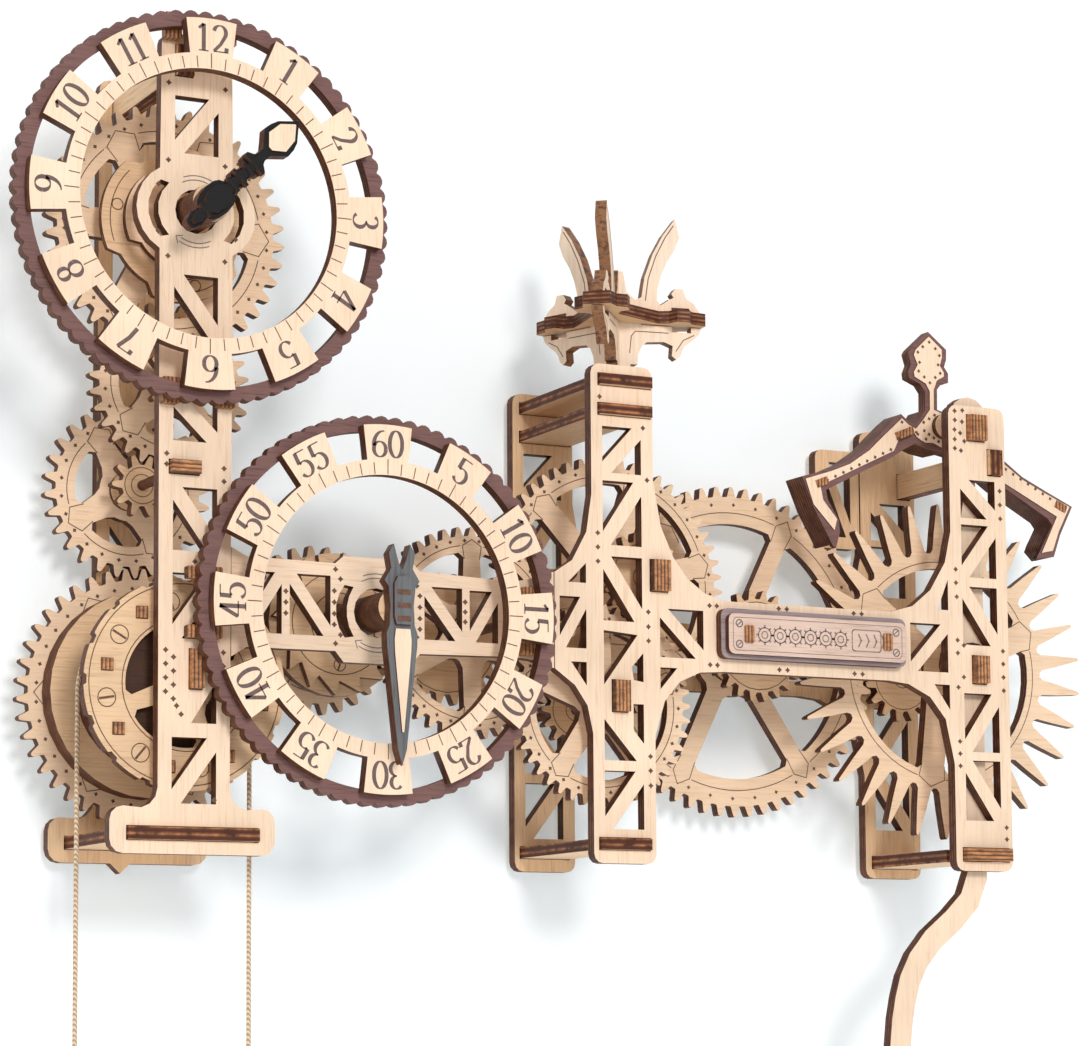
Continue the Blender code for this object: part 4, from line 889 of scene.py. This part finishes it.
for centre, reach in ((HOUR, 9.4), (MINUTE, 10.4)):
    for start, end in ((118, 60), (298, 240)):
        guide.line(arc(centre, reach, start, end, 12), 0.3)
        guide.line(arc(centre, reach + 1.3, start - 6, end, 10), 0.3)
        tip_at = polar(centre, reach + 0.65, end - 9)
        guide.line([polar(centre, reach - 0.8, end), tip_at, polar(centre, reach + 2.1, end)], 0.3)
guide.done()

# drum face: notched disc with four windows, screws, square slots and tenons
low, high = span("drum_front_disc")
disc, disc_back = low[1], high[1]
disc_r = (high[0] - low[0]) / 2
notched = []
for i in range(16):
    notched += arc(DRUM, disc_r, i * 22.5 + 2.5, i * 22.5 + 18.5, 8)
    notched += arc(DRUM, disc_r - 0.9, i * 22.5 + 19.5, i * 22.5 + 24.0, 3)
fine_disc = sheet("drum_disc_fine", "drum", WOOD["inner"], notched,
                  spoke_windows(DRUM, 8.6, 18.4, 4, 20.0, 5.0) + [ring(1.8, 16, DRUM)],
                  disc, disc_back - disc)
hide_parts("drum_front_disc")
# a near-black ring closing the four windows of the drum disc from behind: painted shadow in the openings
sheet("drum_window_shadow", "drum", WOOD["window_shadow"], ring(18.9, 40, DRUM), [ring(1.8, 16, DRUM)],
      disc_back - 0.6, 0.6)
screws = Marks("drum_screws", "drum", disc, WOOD["line"], "wheel_ply")
screws.line(ring(29.4, 60, DRUM), 0.3, True)
screws.line(ring(19.4, 48, DRUM), 0.3, True)
for i in range(16):
    centre = polar(DRUM, 24.4, 11.0 + i * 22.5)
    if i % 2 == 0:
        screws.screw(centre, 2.7, 22, 2.2, 30 + i * 20, 0.3, 0.7)
    else:
        screws.polygon(moved(box(-1.9, 1.9, -1.9, 1.9), centre))
screws.done()
for i in range(8):
    x, z = polar(DRUM, 24.4, 33.5 + i * 45)
    sheet("drum_tenon_%d" % i, "drum", WOOD["tenon_x"],
          rounded(x - 1.6, x + 1.6, z - 1.6, z + 1.6, 0.3), [], disc - 1.0, 1.0)
# lobed disc on the minute arbor; it passes through second_wheel_fine, which is left open
ratchet = []
for i in range(16):
    step = 22.5
    ratchet += [polar(MINUTE, 17.4, i * step), polar(MINUTE, 21.9, i * step + 19),
                polar(MINUTE, 18.2, i * step + 21)]
sheet("minute_ratchet", "minute_train", WOOD["inner"], ratchet, [ring(6.0, 20, MINUTE)], -30.4, 2.6)
pawl = Marks("minute_ratchet_lines", "minute_train", -30.4, WOOD["line"], "wheel_ply")
pawl.line(ring(15.6, 40, MINUTE), 0.3, True)
pawl.line(ring(9.4, 30, MINUTE), 0.3, True)
for i in range(3):
    pawl.screw(polar(MINUTE, 12.6, 30 + i * 120), 1.9, 20, 1.6, 70, 0.3, 0.6)
pawl.done()

# hour boss: two lobed discs behind the tower, engraved with arcs and circles
for name, radius, y, thick, tone in (("a", 23.5, -41.6, 2.4, "inner"), ("b", 17.0, -44.2, 2.4, "wheel")):
    loop = []
    for i in range(3):
        loop += arc(HOUR, radius, i * 120 + 12, i * 120 + 84, 14)
        loop += arc(HOUR, radius - 3.0, i * 120 + 92, i * 120 + 124, 6)
    sheet("hour_clutch_" + name, "hour_train", WOOD[tone], loop, [ring(5.8, 20, HOUR)], y, thick)
clutch = Marks("hour_clutch_lines", "hour_train", -41.6, WOOD["line"], "wheel_ply")
for i in range(3):
    clutch.line(arc(HOUR, 20.8, i * 120 + 16, i * 120 + 80, 16), 0.3)
    centre = polar(HOUR, 19.0, i * 120 + 48)
    clutch.line(ring(1.7, 18, centre), 0.3, True)
clutch.done()

# ---- anchor
ANCHOR = [(-6.4, 5.4), (-6.3, 11.5), (-8.2, 14.0), (-12.6, 15.7), (-12.9, 17.7), (-11.7, 20.5),
          (-12.8, 24.1), (-12.0, 25.5), (-4.7, 32.0), (2.5, 26.5), (2.4, 23.1), (1.5, 20.6),
          (3.1, 18.4), (3.0, 15.3), (0.2, 14.7), (-1.5, 12.6), (-1.6, 5.8), (2.5, 4.8), (6.5, 3.5),
          (9.5, 0.5), (16.0, -2.6), (24.7, -9.2), (32.4, -14.4), (41.7, -18.5), (52.8, -23.2),
          (47.6, -33.2), (44.8, -40.9), (37.4, -42.1), (44.3, -30.0), (42.7, -28.0), (24.5, -18.4),
          (9.5, -8.4), (4.0, -7.4), (-0.8, -8.7), (-6.7, -7.8), (-10.7, -6.4), (-14.7, -8.4),
          (-19.5, -11.5), (-32.5, -17.8), (-45.8, -24.4), (-45.1, -27.7), (-41.0, -34.0),
          (-40.7, -38.0), (-42.3, -43.3), (-43.4, -42.8), (-50.5, -30.7), (-54.9, -20.5),
          (-44.1, -17.3), (-37.1, -14.2), (-29.2, -8.9), (-24.4, -4.2), (-19.2, 0.6), (-16.0, 3.2),
          (-13.3, 1.1), (-10.5, 0.0), (-8.1, 2.9)]
# the pale front sheet, a little smaller, with its own claws
ANCHOR_FACE = [(-4.8, 5.5), (-4.7, 11.6), (-6.2, 14.2), (-10.6, 16.2), (-10.9, 17.8), (-9.3, 20.3),
               (-10.8, 23.6), (-10.0, 25.4), (-4.7, 30.3), (0.4, 26.3), (0.4, 23.6), (-0.5, 20.8),
               (1.1, 18.5), (1.0, 17.2), (-1.8, 15.6), (-3.1, 12.4), (-3.2, 5.6), (1.8, 4.0),
               (5.6, 2.4), (9.0, -0.6), (15.6, -3.8), (24.4, -10.4), (32.3, -15.5), (41.5, -19.5),
               (51.4, -23.4), (46.7, -32.2), (44.1, -38.9), (39.5, -39.9), (46.1, -27.1),
               (24.5, -17.0), (10.0, -7.2), (4.0, -6.2), (-0.7, -6.9), (-3.9, -5.6), (-6.7, -5.8),
               (-8.3, -5.2), (-10.2, -4.1), (-11.4, -2.5), (-15.0, -3.6), (-17.4, -5.6),
               (-19.4, -9.5), (-48.2, -23.2), (-47.2, -27.9), (-42.0, -33.8), (-43.0, -37.6),
               (-50.9, -29.5), (-53.8, -21.3), (-43.7, -18.0), (-36.7, -15.2), (-28.8, -9.9),
               (-24.1, -5.5), (-18.8, -0.8), (-16.0, 1.7), (-13.3, -0.3), (-10.5, -1.4), (-7.7, 1.7)]


def outside(loop, centre, radius):
    """The outline with every point inside a circle pushed out to it."""
    pushed = []
    for i, (x, z) in enumerate(loop):
        nx, nz = loop[(i + 1) % len(loop)]
        for k in range(4):
            px = x + (nx - x) * k / 4
            pz = z + (nz - z) * k / 4
            reach = math.hypot(px - centre[0], pz - centre[1])
            if reach < radius:
                px = centre[0] + (px - centre[0]) * radius / reach
                pz = centre[1] + (pz - centre[1]) * radius / reach
            pushed.append((px, pz))
    return pushed


ANCHOR_Y = -37.5
TEETH_CLEAR = 58.9
place = moved(ANCHOR, PIVOT)
clear = outside(place, ESCAPE, TEETH_CLEAR)
sheet("anchor_lip", "pendulum", WOOD["rim"], place, [], ANCHOR_Y, 1.85)
core = sheet("anchor_middle", "pendulum", WOOD["rim"], clear, [], ANCHOR_Y + 1.85, 2.2)
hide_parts("anchor")
arms = outside([(x, z) for x, z in place if z - PIVOT[1] < 5.7], ESCAPE, TEETH_CLEAR)
sheet("anchor_rear", "pendulum", WOOD["rim"], arms, [], ANCHOR_Y + 4.05, 2.6)
sheet("anchor_back", "pendulum", WOOD["inner"], arms, [], ANCHOR_Y + 6.65, 3.7)
sheet("anchor_face", "pendulum", WOOD["dial"], moved(ANCHOR_FACE, PIVOT), [], ANCHOR_Y - 0.45, 0.45)
sheet("anchor_axle", "pendulum", WOOD["inner"], ring(1.5, 20, PIVOT), [], -53.2, 48.9)
sheet("anchor_boss", "pendulum", WOOD["wheel"], ring(4.2, 28, PIVOT), [ring(1.6, 16, PIVOT)],
      ANCHOR_Y - 2.6, 2.1)
for name, x, z, turn in (("hub", -15.6, -3.4, 22), ("left", -47.6, -22.0, 22), ("right", 47.6, -23.6, -24)):
    half, proud, thick = (3.2, 2.4, 2.0) if name == "hub" else (2.3, 0.9, 0.5)
    middle = (PIVOT[0] + x, PIVOT[1] + z)
    corners = [polar(polar(middle, half * a, turn), 1.25 * b, turn + 90)
               for a, b in ((-1, -1), (1, -1), (1, 1), (-1, 1))]
    sheet("anchor_wedge_" + name, "pendulum", WOOD["tenon_x"], corners, [], ANCHOR_Y - proud, thick)
rows = Marks("anchor_stars", "pendulum", ANCHOR_Y - 0.45, WOOD["line"])
for start, end, count in (((-45.5, -21.2), (-20.6, -9.2), 9), ((25.4, -12.4), (46.4, -22.6), 8),
                          ((11.0, -3.4), (22.0, -11.0), 4), ((-16.0, 0.4), (-9.8, -3.2), 3),
                          ((-10.4, -2.6), (-6.6, -4.6), 2), ((-7.4, 1.0), (-3.0, 3.8), 3),
                          ((-7.2, -1.8), (-1.6, -5.0), 4)):
    for i in range(count):
        part = i / (count - 1)
        rows.star(PIVOT[0] + start[0] + (end[0] - start[0]) * part,
                  PIVOT[1] + start[1] + (end[1] - start[1]) * part, 0.62, 20)
for x, z in ((-4.6, 28.4), (-7.2, 26.6), (-2.2, 26.4), (-9.2, 24.6), (-0.6, 24.2), (-8.6, 21.2),
             (-1.2, 21.0), (-9.0, 18.2), (-0.4, 18.2), (-6.8, 16.4), (-2.4, 16.6), (-4.6, 14.6)):
    rows.star(PIVOT[0] + x, PIVOT[1] + z, 0.6)
rows.done()

# ---- ornament lines
for number, azimuth in enumerate(VANE_TURNS):
    for side in (-1, 1):
        lines = Marks("vane_lines_%d_%s" % (number, "a" if side < 0 else "b"), "frame", side * 1.8,
                      WOOD["line"], "wheel_ply", side)
        lines.line([(9.8, 101.0), (10.8, 108.0), (13.4, 115.4), (16.6, 121.6), (19.4, 125.6)], 0.32)
        lines.line([(14.8, 99.9), (17.4, 101.6)], 0.3)
        lines.line([(4.4, 84.0), (5.0, 89.4), (6.4, 91.0), (17.4, 91.0)], 0.28)
        lines.line([(19.9, 85.4), (22.4, 89.0), (26.0, 90.8)], 0.28)
        leaf = lines.done()
        turning = Matrix.Rotation(math.radians(azimuth), 4, "Z")
        shift = Matrix.Translation((VANE_AXIS[0] * MM, VANE_AXIS[1] * MM, 0.0))
        leaf.data.transform(shift @ turning)

# ---- pendulum detail
bob_low, bob_high = span("pendulum_bob")
bob_centre = ((bob_low[0] + bob_high[0]) / 2, (bob_low[2] + bob_high[2]) / 2)
bob_lines = Marks("bob_lines", "pendulum", bob_low[1], WOOD["soft"], "mauve_ply")
bob_lines.line(ring(27.0, 64, bob_centre), 0.4, True)
bob_lines.line(ring(12.0, 40, bob_centre), 0.4, True)
for i in range(12):
    bob_lines.line([polar(bob_centre, 14, i * 30), polar(bob_centre, 24, i * 30)], 0.4)
bob_lines.done()

# ---- room and lighting
def room_material(name, shade_value):
    """Pale matt surface that is only there from its front side."""
    material, tree, shader, coords = node_tree(name)
    soft = noise(tree, coords["Object"], (3.0,) * 3, 2.0, 0.5)
    low = (shade_value * 0.985,) * 3
    high = (shade_value,) * 3
    tree.links.new(ramp(tree, soft, [(0.3, low), (0.7, high)]), shader.inputs["Base Color"])
    shader.inputs["Roughness"].default_value = 0.95
    shader.inputs["Specular IOR Level"].default_value = 0.05
    shader.inputs["Emission Color"].default_value = (0.74, 0.92, 1.0, 1.0)
    shader.inputs["Emission Strength"].default_value = 0.22
    clear = add(tree, "ShaderNodeBsdfTransparent")
    side = add(tree, "ShaderNodeNewGeometry")
    blend = add(tree, "ShaderNodeMixShader")
    tree.links.new(side.outputs["Backfacing"], blend.inputs[0])
    tree.links.new(shader.outputs[0], blend.inputs[1])
    tree.links.new(clear.outputs[0], blend.inputs[2])
    output = tree.nodes["Material Output"]
    tree.links.new(blend.outputs[0], output.inputs["Surface"])
    return material


def backdrop(name, corners, material):
    data = bpy.data.meshes.new(name)
    data.from_pydata(corners, [], [tuple(range(len(corners)))])
    data.materials.append(material)
    placed(name, data)


PALE = room_material("pale_room", 0.84)
backdrop("wall", [(-4, 0.003, -0.9), (4, 0.003, -0.9), (4, 0.003, 3), (-4, 0.003, 3)], PALE)
backdrop("floor", [(-4, -4, -0.9), (4, -4, -0.9), (4, 0.003, -0.9), (-4, 0.003, -0.9)], PALE)


def lamp(name, place, target, size, power):
    data = bpy.data.lights.new(name, "AREA")
    data.shape = "DISK"
    data.size = size
    data.energy = power
    obj = placed(name, data)
    obj.location = place
    direction = Vector(target) - Vector(place)
    obj.rotation_euler = direction.to_track_quat("-Z", "Y").to_euler()


lamp("key", (-0.25, -2.30, 0.72), (0.0, 0.0, 0.0), 0.60, 26.0)
lamp("fill", (-1.8, -1.8, 0.4), (0.0, 0.0, 0.0), 1.6, 6.6)
lamp("low", (0.2, -1.6, -0.8), (0.0, 0.0, 0.0), 1.2, 1.6)
world = bpy.data.worlds.new("studio")
scene.world = world
world.use_nodes = True
world.node_tree.nodes["Background"].inputs["Color"].default_value = (1.0, 1.0, 1.0, 1.0)
world.node_tree.nodes["Background"].inputs["Strength"].default_value = 0.50
scene.view_settings.view_transform = "Standard"

bpy.context.view_layer.update()
